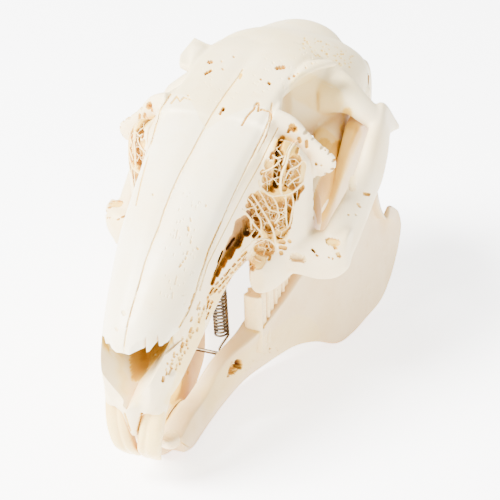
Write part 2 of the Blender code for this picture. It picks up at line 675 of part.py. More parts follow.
def take(skull, name, rows, material, side=0):
    """Cuts one bone out of what is left of the skull, with the gap of a suture round it."""
    block = cell("block", rows, 0.0)
    wider = cell("wider", rows, GAP)
    if side < 0:
        for thing in (block, wider):
            thing.data.transform(Matrix.Scale(-1.0, 4, (1.0, 0.0, 0.0)))
            thing.data.flip_normals()
    piece = copy_of(skull, name)
    boolean(piece, block, "INTERSECT", "MANIFOLD")
    boolean(skull, wider, "DIFFERENCE", "MANIFOLD")
    for thing in (block, wider):
        bpy.data.objects.remove(thing, do_unlink=True)
    keep_node(piece, name, material)
    return piece


skull = cranium()
open_cranium(skull)
thinned(skull, CRANIUM_TRIANGLES)
teeth = upper_teeth() + [incisor("incisor", UPPER_INCISOR, True), incisor("peg", PEG_TOOTH, True)]
for tooth in teeth + [mirrored(tooth) for tooth in teeth]:
    boolean(skull, tooth, "UNION")
    bpy.data.objects.remove(tooth, do_unlink=True)

for side, word in ((1, "left"), (-1, "right")):
    take(skull, "zygomatic_" + word, ARCH_CELL, FACE_BONE, side)
    take(skull, "cheek_teeth_" + word, SOCKET_CELL, FACE_BONE, side)
    take(skull, "nasal_" + word, NASAL_CELL, NASAL_BONE, side)
    take(skull, "bulla_" + word, BULLA_CELL, CRANIUM_BONE, side)
for side, word in ((1, "left"), (-1, "right")):
    take(skull, "premaxilla_" + word, PREMAXILLA_CELL, FACE_BONE, side)
    take(skull, "maxilla_" + word, MAXILLA_CELL, FACE_BONE, side)
take(skull, "frontal", FRONTAL_CELL, CRANIUM_BONE)
take(skull, "parietal", PARIETAL_CELL, CRANIUM_BONE)
take(skull, "occipital", OCCIPITAL_CELL, CRANIUM_BONE)
bpy.data.objects.remove(skull, do_unlink=True)

jaw_left = mandible()
jaw_right = mirrored(jaw_left)
keep_node(jaw_left, "mandible_left", JAW_BONE)
keep_node(jaw_right, "mandible_right", JAW_BONE)


# Spring that pulls the jaw up to the palate, and the wire across the jaw that its lower end hooks round

PIN_Y = 29.0
PIN_Z = 14.1
PIN_RADIUS = 0.33
PIN_REACH = 2.75
SPRING_X = 1.75
SPRING_Y = 32.0
SPRING_LOW = 15.7
SPRING_HIGH = 24.9
SPRING_RADIUS = 1.12
SPRING_WIRE = 0.2
SPRING_TURNS = 13
POINTS_A_TURN = 8
HOOK_X = 2.1
HOOK_RADIUS = PIN_RADIUS + SPRING_WIRE + GAP


def spring_path():
    """Hook round the wire, then the turns, then a straight end up into the slot of the palate."""
    places = []
    for degrees in range(150, 391, 30):
        angle = math.radians(degrees)
        places.append((HOOK_X, PIN_Y + HOOK_RADIUS * math.cos(angle), PIN_Z + HOOK_RADIUS * math.sin(angle)))
    places.append((HOOK_X + 0.3, PIN_Y + 1.6, PIN_Z + 1.0))
    for step in range(SPRING_TURNS * POINTS_A_TURN + 1):
        angle = step * 2 * math.pi / POINTS_A_TURN
        rise = step / (SPRING_TURNS * POINTS_A_TURN)
        places.append((SPRING_X + SPRING_RADIUS * math.cos(angle), SPRING_Y + SPRING_RADIUS * math.sin(angle),
                       SPRING_LOW + (SPRING_HIGH - SPRING_LOW) * rise))
    places.append((SPRING_X + SPRING_RADIUS, SPRING_Y + 0.2, SPRING_HIGH + 0.9))
    places.append((SPRING_X + SPRING_RADIUS - 0.2, SPRING_Y + 0.2, SPRING_HIGH + 3.2))
    return places


def round_wire(name, places, radius):
    curve = bpy.data.curves.new(name, "CURVE")
    curve.dimensions = "3D"
    curve.bevel_depth = radius
    curve.bevel_resolution = 2
    curve.use_fill_caps = True
    spline = curve.splines.new("POLY")
    spline.points.add(len(places) - 1)
    for point, place in zip(spline.points, places):
        point.co = (*place, 1.0)
    line = bpy.data.objects.new(name, curve)
    cutters.objects.link(line)
    mesh = evaluated(line)
    bpy.data.objects.remove(line, do_unlink=True)
    thing = bpy.data.objects.new(name, mesh)
    cutters.objects.link(thing)
    return thing


keep_node(round_wire("jaw_spring", spring_path(), SPRING_WIRE), "jaw_spring", SPRING_STEEL)
pin = [(-PIN_REACH, PIN_Y, PIN_Z), (PIN_REACH, PIN_Y, PIN_Z)]
keep_node(round_wire("jaw_wire", pin, PIN_RADIUS), "jaw_wire", SPRING_STEEL)


# Tips the skull on to its chin and jaw angles, flattens what it stands on, centres it and turns it into
# metres

turn = Matrix.Rotation(REST_PITCH, 4, "X")
for thing in parts.objects:
    thing.data.transform(turn)


def box_of(things):
    corners = np.array([vertex.co for thing in things for vertex in thing.data.vertices])
    return corners.min(axis=0), corners.max(axis=0)


floor = box_of([jaw_left, jaw_right])[0][2] + FLOOR_FLAT
for jaw in (jaw_left, jaw_right):
    ground = prism("ground", ((-FAR, -FAR), (FAR, -FAR), (FAR, 2 * FAR), (-FAR, 2 * FAR)), floor - FAR, floor)
    boolean(jaw, ground, "DIFFERENCE")
    bpy.data.objects.remove(ground, do_unlink=True)
    largest(jaw)
lowest, highest = box_of(parts.objects)
middle = ((lowest[0] + highest[0]) / 2, (lowest[1] + highest[1]) / 2, lowest[2])
place = Matrix.Scale(MM, 4) @ Matrix.Translation([-value for value in middle])
for thing in parts.objects:
    thing.data.transform(place)
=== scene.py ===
import math

import bmesh
import bpy
import numpy as np
from mathutils import Matrix, Vector
from mathutils.bvhtree import BVHTree


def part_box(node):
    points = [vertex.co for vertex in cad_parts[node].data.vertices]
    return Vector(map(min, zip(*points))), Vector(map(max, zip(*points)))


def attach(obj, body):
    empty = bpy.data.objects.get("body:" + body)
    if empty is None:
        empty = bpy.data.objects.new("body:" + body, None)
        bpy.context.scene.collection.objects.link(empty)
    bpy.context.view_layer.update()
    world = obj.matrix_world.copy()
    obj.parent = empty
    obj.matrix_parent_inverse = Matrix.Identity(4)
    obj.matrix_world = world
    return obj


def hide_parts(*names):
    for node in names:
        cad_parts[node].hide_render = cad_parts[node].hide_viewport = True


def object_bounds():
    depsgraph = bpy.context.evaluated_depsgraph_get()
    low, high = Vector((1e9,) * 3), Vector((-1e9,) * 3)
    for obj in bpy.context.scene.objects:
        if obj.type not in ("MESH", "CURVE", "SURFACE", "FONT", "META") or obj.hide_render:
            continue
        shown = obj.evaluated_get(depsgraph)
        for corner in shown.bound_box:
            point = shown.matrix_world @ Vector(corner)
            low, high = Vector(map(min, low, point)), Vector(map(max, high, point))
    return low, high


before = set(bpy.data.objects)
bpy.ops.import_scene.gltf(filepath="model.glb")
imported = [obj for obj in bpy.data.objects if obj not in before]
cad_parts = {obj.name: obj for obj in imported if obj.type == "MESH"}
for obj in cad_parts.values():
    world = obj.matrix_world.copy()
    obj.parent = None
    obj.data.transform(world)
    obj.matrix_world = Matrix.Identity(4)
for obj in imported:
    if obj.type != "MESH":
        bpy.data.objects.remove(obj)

CAD_BOX = [list(corner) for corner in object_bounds()]


# Skull block
# The cranium before it is parted into its bones: a hard shell of bone, thick on the snout and thin over the
# brain. Its forms are lofted in millimetres in the animal's own frame, with the midline at x = 0, the left
# at +x, y back from the tip of the nose and z up, and then melted into one skin.

BLOCK_VOXEL = 0.3
BLOCK_EASE = 8
EASE_FACTOR = 0.5

ROSTRUM = (
    (0.6, 0, 37.2, 32, 24.6, 3.9, 2, 2.8),
    (2.8, 0, 40, 33, 23.8, 4.8, 2, 2.9),
    (7, 0, 43.2, 35.5, 22.6, 5.9, 2, 2.9),
    (12, 0, 46.1, 39.6, 23.8, 6.7, 2, 2.8),
    (17, 0, 48.4, 43.2, 24.8, 7.4, 2, 2.6),
    (23, 0, 50.7, 46.4, 25.6, 7.8, 2.2, 2.4),
    (30, 0, 52.7, 48.4, 26.6, 8.6, 2.4, 2.3),
    (36, 0, 53.9, 49.4, 27.2, 9.8, 2.6, 2.6),
    (41, 0, 54.6, 49.6, 28.6, 10.6, 2.9, 2.8),
    (45, 0, 54.8, 48, 33, 8.4, 2.9, 2.6),
    (48, 0, 54.4, 46, 35, 4.6, 2.6, 2.4))
FRONTAL_ROOF = (
    (38, 0, 54.4, 52.6, 49, 9.2, 3.2, 2.4),
    (42, 0, 54.9, 53.2, 49, 9.7, 3.2, 2.4),
    (46, 0, 55.2, 53.6, 49, 8.6, 3.2, 2.4),
    (49.5, 0, 55.5, 54, 49, 7.9, 3.2, 2.4),
    (54, 0, 55.5, 53.8, 49, 8.6, 3, 2.4),
    (59, 0, 55.2, 52.6, 48, 9.4, 2.6, 2.4),
    (64, 0, 54.2, 50, 46, 10.2, 2.4, 2.4))
SEPTUM = (
    (42, 0, 53, 44, 33, 6, 3, 3),
    (47, 0, 53, 44, 33.6, 4.3, 3, 3),
    (54, 0, 53.6, 44, 34.2, 4, 3, 3),
    (59, 0, 54, 44, 34.8, 5.4, 3, 3),
    (64, 0, 54, 44, 35.2, 8, 3, 3))
BRAINCASE = (
    (57, 0, 54.4, 46, 38, 6.4, 2.2, 2.2),
    (61, 0, 54.9, 45, 36, 10.4, 2.1, 2.4),
    (66, 0, 54, 43.6, 35.2, 13.2, 2.1, 2.5),
    (71, 0, 52.4, 42.6, 35, 14.1, 2.1, 2.6),
    (76, 0, 49.9, 41.8, 35, 13.8, 2.1, 2.6),
    (80, 0, 47.4, 40.8, 35, 12.6, 2.1, 2.6),
    (84, 0, 44.4, 40, 35, 10.2, 2.2, 2.4),
    (87, 0, 41.8, 39.2, 35.8, 7, 2.4, 2.4))
OCCIPITAL_SHIELD = (
    (64, 0, 53.9, 49, 43, 6, 2, 3),
    (69, 0, 53, 47.6, 42, 8.6, 1.9, 3),
    (74, 0, 51.4, 45.8, 41, 9.8, 1.8, 3),
    (78.5, 0, 50.1, 44.6, 40.4, 9, 1.8, 3),
    (82.4, 0, 48.4, 44, 40, 6.8, 2, 3),
    (84.6, 0, 45.6, 43, 39, 3.8, 2.6, 3))
CHEEK_PLATE = (
    (7, 36, 50.5, 42, 29, 5, 2.4, 2.4),
    (10.5, 37.2, 51.5, 42, 28.4, 4.2, 2.4, 2.4),
    (13.2, 38.4, 50.5, 40, 28, 3.2, 2.4, 2.4),
    (15.2, 39.6, 47.5, 38, 28.6, 1.9, 2.4, 2.4))
CHEEK_TUBER = (
    (10.5, 38, 38, 33, 27.6, 3.8, 2.4, 2.4),
    (14, 38.6, 34.8, 31.4, 26.8, 3.2, 2.4, 2.4),
    (17, 39, 34.4, 30.8, 26.2, 3, 2.4, 2.4),
    (19.6, 39.8, 34.6, 31, 26.4, 2.8, 2.4, 2.4),
    (21.3, 40.6, 34.8, 31.6, 27.8, 2, 2.4, 2.4))
LACRIMAL_FLAP = (
    (9, 41.4, 54.8, 49, 44, 1.8, 2.4, 2.4),
    (12, 42, 53.4, 48.5, 42.8, 1.2, 2.4, 2.4),
    (15, 42.4, 49.9, 46.8, 42.6, 0.9, 2.4, 2.4),
    (17.4, 42.6, 47.9, 46.2, 43.8, 0.8, 2.4, 2.4),
    (18.5, 42.8, 46.8, 45.8, 45, 0.6, 2.4, 2.4))
ORBIT_RIM = (
    (43.5, 7.6, 54.6, 53.8, 52.6, 1.4, 2, 2),
    (47, 7.2, 54.9, 54.2, 53.2, 1.2, 2, 2),
    (51, 7.8, 55.1, 54.4, 53.4, 1.3, 2, 2),
    (55, 9, 55, 54.3, 53.3, 1.5, 2, 2),
    (58.5, 10.4, 54.4, 53.7, 52.8, 1.6, 2, 2),
    (61, 11.8, 53.4, 52.8, 52, 1.2, 2, 2))
RIGHT_FLAP = (
    (-4, 49), (-8, 50.2), (-9.2, 51.2), (-11.5, 52.4), (-12.5, 55.2), (-12.3, 61.2), (-9, 59.6), (-4, 60))
FLAP_LOW = 52.8
FLAP_HIGH = 54.0
ARCH = (
    (39, 18.9, 34.8, 31.3, 27.4, 1.9, 2.6, 2.6),
    (43, 19.6, 36.6, 32.6, 28.8, 1.8, 2.6, 2.6),
    (47.5, 20.2, 38.2, 34.4, 31, 1.6, 2.6, 2.6),
    (52, 20.5, 40.2, 36.6, 33, 1.5, 2.6, 2.6),
    (56, 20.6, 42.6, 38.4, 34.2, 1.4, 2.6, 2.6),
    (60, 20.4, 44, 40.6, 36.4, 1.3, 2.6, 2.6),
    (64.2, 19.9, 44.6, 41.2, 38.2, 1.1, 3, 2.6),
    (66.4, 19.9, 43.2, 40.4, 37.6, 0.95, 3, 2.6),
    (69.6, 19.9, 39.4, 37.8, 36.2, 0.85, 2.6, 2.6),
    (72.8, 19.8, 35.8, 35.2, 34.6, 0.7, 2.6, 2.6))
ARCH_LEAN = -0.18
RIGHT_TUBER_HEIGHT = 0.78
RIGHT_SHIFTS = {
    "arch": (1.4, -1.2, -2.0),
    "cheek_tuber": (0.8, -1.0, 6.1),
    "squamosal_root": (2.0, -0.2, -0.5)}
SQUAMOSAL_ROOT = (
    (10, 64.6, 49.4, 46, 42, 5.4, 2.2, 2.2),
    (14, 63.2, 48.4, 45.8, 43.2, 3.6, 2.2, 2.2),
    (17, 61.8, 46.6, 44.6, 42.6, 2.9, 2.2, 2.2),
    (20.3, 61.4, 43.9, 42.4, 40.8, 2.3, 2.2, 2.2))
TOOTH_SOCKETS = (
    (33, 8.8, 34, 31, 28, 1.6, 2.4, 3),
    (35.5, 9.4, 36.5, 32, 26.8, 2.8, 2.4, 3),
    (42, 9.8, 38, 33, 26.6, 3.4, 2.4, 3),
    (48.5, 9.6, 37, 33, 27, 3, 2.4, 3),
    (52.6, 9.2, 34, 31.5, 28.6, 1.8, 2.4, 3))
SOCKET_BULB = (
    (31.2, 8.8, 31.8, 28.9, 26.4, 1.3, 2.2, 2.2),
    (33.4, 9.3, 33.8, 29.6, 25.5, 2.5, 2.2, 2.2),
    (37, 10.1, 36, 31.2, 25.3, 3.3, 2.2, 2.2),
    (42, 11, 38, 32.4, 25.5, 3.9, 2.2, 2.2),
    (47, 11, 37.8, 33, 26, 3.5, 2.2, 2.2),
    (52, 10, 36.4, 33.4, 28.2, 2.2, 2.2, 2.2))
ORBIT_FLOOR = (
    (45, 10.8, 37, 33.6, 30, 2.4, 2.2, 2.2),
    (49, 10.8, 37.6, 33.4, 29, 2.6, 2.2, 2.2),
    (53, 11.1, 38.4, 32.8, 27.4, 2.3, 2.2, 2.2),
    (57.5, 11.1, 39.8, 33.2, 26.8, 2.6, 2.4, 2.2),
    (62, 11, 41.4, 34.6, 28.2, 2.7, 2.4, 2.2),
    (67, 11, 42.2, 36.6, 31, 2.4, 2.4, 2.2))
PTERYGOID = (
    (48, 4.4, 37, 33, 30.6, 1, 2.4, 2.4),
    (54, 4.9, 37, 33, 28.6, 0.9, 2.4, 2.4),
    (60, 5.2, 37.5, 34, 29.6, 0.9, 2.4, 2.4),
    (64, 5.6, 37.5, 35, 32, 0.9, 2.4, 2.4))
PAROCCIPITAL = (
    (80, 11.2, 42, 37, 33, 1.6, 2.4, 2.4),
    (82.5, 11, 42, 36, 30.2, 1.5, 2.4, 2.4),
    (84.6, 10.4, 40, 35, 30.8, 1, 2.4, 2.4))

BULLA_CENTRE = (9.4, 73.4, 33.8)
BULLA_RADII = (4.6, 6, 6)
MEATUS_START = (10.5, 71.5, 37)
MEATUS_END = (12.8, 75.6, 41)
MEATUS_RADIUS = 2.2
MEATUS_TAPER = 0.3
SHEATH_START = (3.6, 5, 30.5)
SHEATH_END = (3.15, 2.7, 24.3)
SHEATH_RADII = (2.2, 1.7)
RIDGE_START = (0, 1.8, 27)
RIDGE_END = (0, 1.3, 20)
RIDGE_RADII = (2.3, 0.6)
FLAP_NICKS = (
    (13.9, 51.1, 0.45), (15.1, 50.05, 0.45), (16.4, 48.6, 0.4), (17.5, 47.7, 0.3),
    (18.2, 46.5, 0.3), (18, 45, 0.3), (17, 43.9, 0.4), (15.6, 43, 0.45))
EDGE_NICKS = ((41.2, 41.4, 0.45), (41.1, 39.6, 0.4), (41.1, 37.8, 0.5), (40.8, 36, 0.4))
FLAP_NICK_RUN = (40.6, 44.6)
EDGE_NICK_RUN = (13.6, 16.4)
CONDYLE_CENTRE = (4.3, 85.8, 36.6)
CONDYLE_RADII = (2.4, 2.8, 3.4)

ROOF_FROM = 36.0
ROOF_BLEND = 3.0
ROOF_FRONT = 1.0
ROOF_BACK = 64.0
ROOF_FADE = 12.0
VALLEY_DEPTH = 0.4
VALLEY_WIDTH = 1.5
FURROW_DEPTH = 0.35
FURROW_WIDTH = 0.55
STRIP_Y = (0, 7.8, 16.5, 26.6, 35, 42)
STRIP_X = (6.2, 6.6, 7.1, 7.7, 8.2, 8.4)

bench = bpy.data.collections.new("bench")
bpy.context.scene.collection.children.link(bench)


def smooth(rows, count):
    """Reads rows of numbers on one smooth curve at even steps of the row."""
    rows = np.array(rows, dtype=float)
    place = np.linspace(0.0, len(rows) - 1.0, count)
    low = np.clip(place.astype(int), 0, len(rows) - 2)
    part = (place - low)[:, None]
    before = rows[np.clip(low - 1, 0, None)]
    first = rows[low]
    second = rows[low + 1]
    after = rows[np.clip(low + 2, None, len(rows) - 1)]
    slope_first = (second - before) / 2
    slope_second = (after - first) / 2
    cubic = 2 * first - 2 * second + slope_first + slope_second
    square = 3 * (second - first) - 2 * slope_first - slope_second
    return ((cubic * part + square) * part + slope_first) * part + first


def on_bench(name, data):
    """Puts a mesh or a curve among the forms that are being worked on."""
    thing = bpy.data.objects.new(name, data)
    bench.objects.link(thing)
    return thing


def dropped(*things):
    for thing in things:
        bpy.data.objects.remove(thing, do_unlink=True)


def built(name, made):
    mesh = bpy.data.meshes.new(name)
    made.to_mesh(mesh)
    made.free()
    return on_bench(name, mesh)


def mesh_object(name, vertices, faces):
    mesh = bpy.data.meshes.new(name)
    mesh.from_pydata([tuple(vertex) for vertex in vertices], [], faces)
    made = bmesh.new()
    made.from_mesh(mesh)
    bmesh.ops.recalc_face_normals(made, faces=made.faces)
    made.to_mesh(mesh)
    made.free()
    return on_bench(name, mesh)


def loft(name, rings):
    """Closed skin over rings that have the same number of points each."""
    size = len(rings[0])
    vertices = np.concatenate(rings)
    faces = []
    for ring in range(len(rings) - 1):
        for corner in range(size):
            following = (corner + 1) % size
            low = ring * size
            high = low + size
            faces.append((low + corner, low + following, high + following, high + corner))
    faces.append(tuple(range(size)))
    faces.append(tuple(range(len(vertices) - 1, len(vertices) - 1 - size, -1)))
    return mesh_object(name, vertices, faces)


def bone(name, axis, stations, steps=30, sides=32, lean=0.0):
    """Loft along y or x. A station is (place, centre, top, wide, bottom, half width, square up, down)."""
    turn = np.linspace(0.0, 2 * math.pi, sides, endpoint=False)
    side = np.cos(turn)
    up = np.sin(turn)
    rings = []
    for place, centre, top, wide, bottom, width, square_up, square_down in smooth(stations, steps):
        power = np.where(up >= 0, 2.0 / square_up, 2.0 / square_down)
        reach = np.where(up >= 0, top - wide, wide - bottom)
        z = wide + reach * np.sign(up) * np.abs(up) ** power
        across = width * np.sign(side) * np.abs(side) ** power + lean * (z - wide)
        along = np.full(sides, place)
        if axis == "y":
            rings.append(np.column_stack((centre + across, along, z)))
        else:
            rings.append(np.column_stack((along, centre + across, z)))
    return loft(name, rings)


def ball(name, centre, radii, segments=32):
    made = bmesh.new()
    bmesh.ops.create_uvsphere(made, u_segments=segments, v_segments=segments // 2, radius=1.0)
    bmesh.ops.transform(made, matrix=Matrix.LocRotScale(centre, None, radii), verts=made.verts)
    return built(name, made)


def rod(name, start, end, radius_start, radius_end, segments=24):
    start = Vector(start)
    end = Vector(end)
    made = bmesh.new()
    bmesh.ops.create_cone(made, cap_ends=True, segments=segments, radius1=radius_start,
                          radius2=radius_end, depth=(end - start).length)
    turn = (end - start).to_track_quat("Z", "Y")
    bmesh.ops.transform(made, matrix=Matrix.LocRotScale((start + end) / 2, turn, None), verts=made.verts)
    return built(name, made)


def prism(name, outline, low, high):
    """Upright block over an outline in x and y."""
    rings = [np.array([(x, y, level) for x, y in outline]) for level in (low, high)]
    return loft(name, rings)


def mirrored(thing):
    mesh = thing.data.copy()
    mesh.transform(Matrix.Scale(-1.0, 4, (1.0, 0.0, 0.0)))
    mesh.flip_normals()
    return on_bench(thing.name + "_right", mesh)


def settle(thing):
    """Applies the modifiers."""
    graph = bpy.context.evaluated_depsgraph_get()
    mesh = bpy.data.meshes.new_from_object(thing.evaluated_get(graph))
    thing.modifiers.clear()
    old = thing.data
    thing.data = mesh
    bpy.data.meshes.remove(old)


def points_of(thing):
    flat = np.empty(len(thing.data.vertices) * 3)
    thing.data.vertices.foreach_get("co", flat)
    return flat.reshape(-1, 3)


def put_points(thing, points):
    thing.data.vertices.foreach_set("co", points.ravel())
    thing.data.update()


def joined(name, things):
    made = bmesh.new()
    for thing in things:
        made.from_mesh(thing.data)
    dropped(*things)
    return built(name, made)


def fused(thing, voxel, passes):
    """Melts overlapping forms into one skin and rounds off where they meet."""
    melt = thing.modifiers.new("melt", "REMESH")
    melt.mode = "VOXEL"
    melt.voxel_size = voxel
    if passes:
        ease = thing.modifiers.new("ease", "SMOOTH")
        ease.factor = EASE_FACTOR
        ease.iterations = passes
    settle(thing)


def boolean(thing, other, operation):
    step = thing.modifiers.new("step", "BOOLEAN")
    step.operation = operation
    step.object = other
    step.solver = "MANIFOLD"
    settle(thing)


middle_forms = [bone("rostrum", "y", ROSTRUM, 60, 48),
                bone("frontal_roof", "y", FRONTAL_ROOF, 40, 40),
                bone("septum", "y", SEPTUM),
                bone("braincase", "y", BRAINCASE, 50, 48),
                bone("shield", "y", OCCIPITAL_SHIELD),
                rod("ridge", RIDGE_START, RIDGE_END, *RIDGE_RADII)]
side_forms = [bone("cheek_plate", "x", CHEEK_PLATE),
              bone("cheek_tuber", "x", CHEEK_TUBER),
              bone("lacrimal_flap", "x", LACRIMAL_FLAP),
              bone("orbit_rim", "y", ORBIT_RIM),
              bone("orbit_floor", "y", ORBIT_FLOOR),
              bone("arch", "y", ARCH, 50, 24, ARCH_LEAN),
              bone("squamosal_root", "x", SQUAMOSAL_ROOT),
              bone("tooth_sockets", "y", TOOTH_SOCKETS),
              bone("socket_bulb", "y", SOCKET_BULB),
              bone("pterygoid", "y", PTERYGOID),
              bone("paroccipital", "y", PAROCCIPITAL),
              ball("bulla", BULLA_CENTRE, BULLA_RADII),
              rod("meatus", MEATUS_START, MEATUS_END, MEATUS_RADIUS, MEATUS_RADIUS - MEATUS_TAPER),
              rod("sheath", SHEATH_START, SHEATH_END, *SHEATH_RADII),
              ball("condyle", CONDYLE_CENTRE, CONDYLE_RADII)]
twin_forms = [mirrored(form) for form in side_forms]
for form, twin in zip(side_forms, twin_forms):
    if form.name == "cheek_tuber":
        twin.data.transform(Matrix.Scale(RIGHT_TUBER_HEIGHT, 4, (0.0, 0.0, 1.0)))
    twin.data.transform(Matrix.Translation(RIGHT_SHIFTS.get(form.name, (0.0, 0.0, 0.0))))
right_flap = prism("right_flap", RIGHT_FLAP, FLAP_LOW, FLAP_HIGH)
block = joined("block", middle_forms + side_forms + twin_forms + [right_flap])
fused(block, BLOCK_VOXEL, BLOCK_EASE)

places = points_of(block)
roof = np.clip((places[:, 2] - ROOF_FROM) / ROOF_BLEND, 0.0, 1.0)
roof *= np.clip((places[:, 1] - ROOF_FRONT) / ROOF_BLEND, 0.0, 1.0)
roof *= np.clip((ROOF_BACK - places[:, 1]) / ROOF_FADE, 0.0, 1.0)
valley = np.exp(-(places[:, 0] / VALLEY_WIDTH) ** 2)
edge_x = np.interp(places[:, 1], STRIP_Y, STRIP_X)
furrow = np.exp(-((np.abs(places[:, 0]) - edge_x) / FURROW_WIDTH) ** 2)
places[:, 2] -= roof * (VALLEY_DEPTH * valley + FURROW_DEPTH * furrow)
put_points(block, places)
flap_nicks = [rod("nick", (x, FLAP_NICK_RUN[0], z), (x, FLAP_NICK_RUN[1], z), radius, radius)
              for x, z, radius in FLAP_NICKS]
edge_nicks = [rod("nick", (EDGE_NICK_RUN[0], y, z), (EDGE_NICK_RUN[1], y, z), radius, radius)
              for y, z, radius in EDGE_NICKS]
nicks = joined("nicks", flap_nicks + edge_nicks)
for tool in (nicks, mirrored(nicks)):
    boolean(block, tool, "DIFFERENCE")
    dropped(tool)


# Openings
# The hollows of the real skull that go right in: the nose, the slots of the palate, the passage behind it,
# the ear holes and the great hole at the back. They are cut from the block before it is parted.

FAR = 60.0
APERTURE = (
    (-6, 0, 35, 33, 25, 6, 1.6, 1.1),
    (0.6, 0, 36.3, 34, 26.6, 5.2, 1.6, 1.1),
    (4, 0, 39, 35.2, 27.6, 5.2, 1.6, 1.1),
    (7.4, 0, 41.6, 36.6, 27.8, 5, 1.8, 1.3),
    (12, 0, 44.6, 37.6, 28.6, 5, 2, 1.8),
    (19, 0, 46, 39.4, 31, 4.2, 2, 2),
    (26, 0, 44, 40.4, 36, 2.6, 2, 2))
NASAL_FRONT_LEFT = (
    (0, -9), (0, 0.1), (0.6, 0.3), (1.2, 0.9), (2.1, 1.8), (2.6, 2.2), (2.9, 2.7), (3.1, 1.9), (3.4, 2.2),
    (3.8, 3.2), (4.1, 4), (4.4, 3.5), (4.7, 3.9), (5.1, 5.2), (5.4, 6.3), (5.9, 7.6), (9, 9.4), (9, -9))
NASAL_FRONT_RIGHT = (
    (0, -9), (0, 0.1), (1.2, 0.7), (2, 1.2), (2.6, 1.9), (3.3, 2), (4, 3), (5.6, 4.4), (7, 5.6),
    (9, 7.4), (9, -9))
NASAL_FRONT_LOW = 34.6
INCISIVE_SLOT = (
    (13, 1.6, 27.5, 25, 20, 0.7, 2.4, 2.4),
    (17, 2, 29.5, 25, 20, 1.2, 2.4, 2.4),
    (24, 2.4, 31, 25, 20, 1.7, 2.4, 2.4),
    (34.4, 2.3, 31, 25, 20, 1.5, 2.4, 2.4))
CHOANA = (
    (41.5, 0, 32, 28, 20, 2.4, 2.4, 2.4),
    (46, 0, 34.5, 28, 20, 3.4, 2.4, 2.4),
    (54, 0, 34.5, 28, 20, 3.7, 2.4, 2.4),
    (59, 0, 33, 28, 20, 3.2, 2.4, 2.4))
MEATUS_BORE = 1.5
MEATUS_BORE_RUN = (0.6, 1.3)
FORAMEN_MAGNUM = (0, 89, 39.2)
FORAMEN_RADII = (4.4, 4.2, 3.6)

front_right = prism("front", NASAL_FRONT_RIGHT, NASAL_FRONT_LOW, FAR)
holes = [bone("aperture", "y", APERTURE, 30, 36),
         prism("front", NASAL_FRONT_LEFT, NASAL_FRONT_LOW, FAR),
         mirrored(front_right),
         bone("choana", "y", CHOANA),
         ball("foramen", FORAMEN_MAGNUM, FORAMEN_RADII)]
dropped(front_right)
meatus_bore = [Vector(MEATUS_START).lerp(Vector(MEATUS_END), share) for share in MEATUS_BORE_RUN]
side_holes = [bone("incisive_slot", "y", INCISIVE_SLOT),
              rod("meatus_bore", *meatus_bore, MEATUS_BORE, MEATUS_BORE)]
for hole in holes + side_holes + [mirrored(hole) for hole in side_holes]:
    boolean(block, hole, "DIFFERENCE")
    dropped(hole)


# Sutures
# The seams where the bones of the skull meet: a hair's breadth wide and slightly winding. Each bone is cut
# out of the block with a cell whose walls wind the same way as its neighbours' walls.

SEAM_GROWTH = 0.15
SEAM_VOXEL = 0.7
SEAM_SWAY = 0.1
SEAM_SEED = 7
SEAM_WAVES = 9
SEAM_PITCH = (1.2, 4.2)
SIDE_REACH = 24.0
NASAL_CELL = (
    (-9, 0.15, 6.2, 33, FAR),
    (7.8, 0.15, 6.6, 37, FAR),
    (16.5, 0.15, 7.1, 43.6, FAR),
    (26.6, 0.15, 7.7, 48, FAR),
    (35, 0.15, 8.2, 51, FAR),
    (41.6, 6, 8.6, 52.2, FAR))
ROOF_CELL = (
    (33, -8.75, 8.75, 50.9, FAR),
    (45, -9.2, 9.2, 50.9, FAR))
SOCKET_CELL = (
    (29.6, 5.2, 16.2, 20, 30.6),
    (54.5, 5.2, 16.2, 20, 30.6))
ARCH_CELL = (
    (42.9, 16.4, SIDE_REACH, 20, 52),
    (54, 17.2, SIDE_REACH, 20, 52),
    (75, 17.6, SIDE_REACH, 20, 52))
BULLA_CELL = (
    (66, 3.6, 20, 26, 34.4),
    (80.2, 3.6, 20, 26, 34.4))
PREMAXILLA_CELL = (
    (-3, 0.15, 12, 16, FAR),
    (15, 0.15, 12, 16, FAR))
MAXILLA_CELL = (
    (14, 0.15, 18, 16, FAR),
    (36, 0.15, SIDE_REACH, 16, FAR),
    (45.4, 0.15, SIDE_REACH, 16, FAR))
FRONTAL_CELL = (
    (43.4, -SIDE_REACH, SIDE_REACH, 24, FAR),
    (61, -SIDE_REACH, SIDE_REACH, 24, FAR))
PARIETAL_CELL = (
    (59.6, -SIDE_REACH, SIDE_REACH, 24, FAR),
    (78.6, -SIDE_REACH, SIDE_REACH, 24, FAR))
OCCIPITAL_CELL = (
    (77, -SIDE_REACH, SIDE_REACH, 24, FAR),
    (92, -SIDE_REACH, SIDE_REACH, 24, FAR))

seam_dice = np.random.default_rng(SEAM_SEED)
seam_waves = seam_dice.normal(size=(SEAM_WAVES, 3)) * np.linspace(*SEAM_PITCH, SEAM_WAVES)[:, None]
seam_starts = seam_dice.uniform(0.0, 2 * math.pi, size=(SEAM_WAVES, 3))


def sway(points):
    """Winding of the seams at each place, the same for both bones that meet there."""
    moved = np.zeros_like(points)
    for wave, start in zip(seam_waves, seam_starts):
        phase = points @ wave
        for axis in range(3):
            moved[:, axis] += np.sin(phase + start[axis])
    return moved * SEAM_SWAY / math.sqrt(SEAM_WAVES)


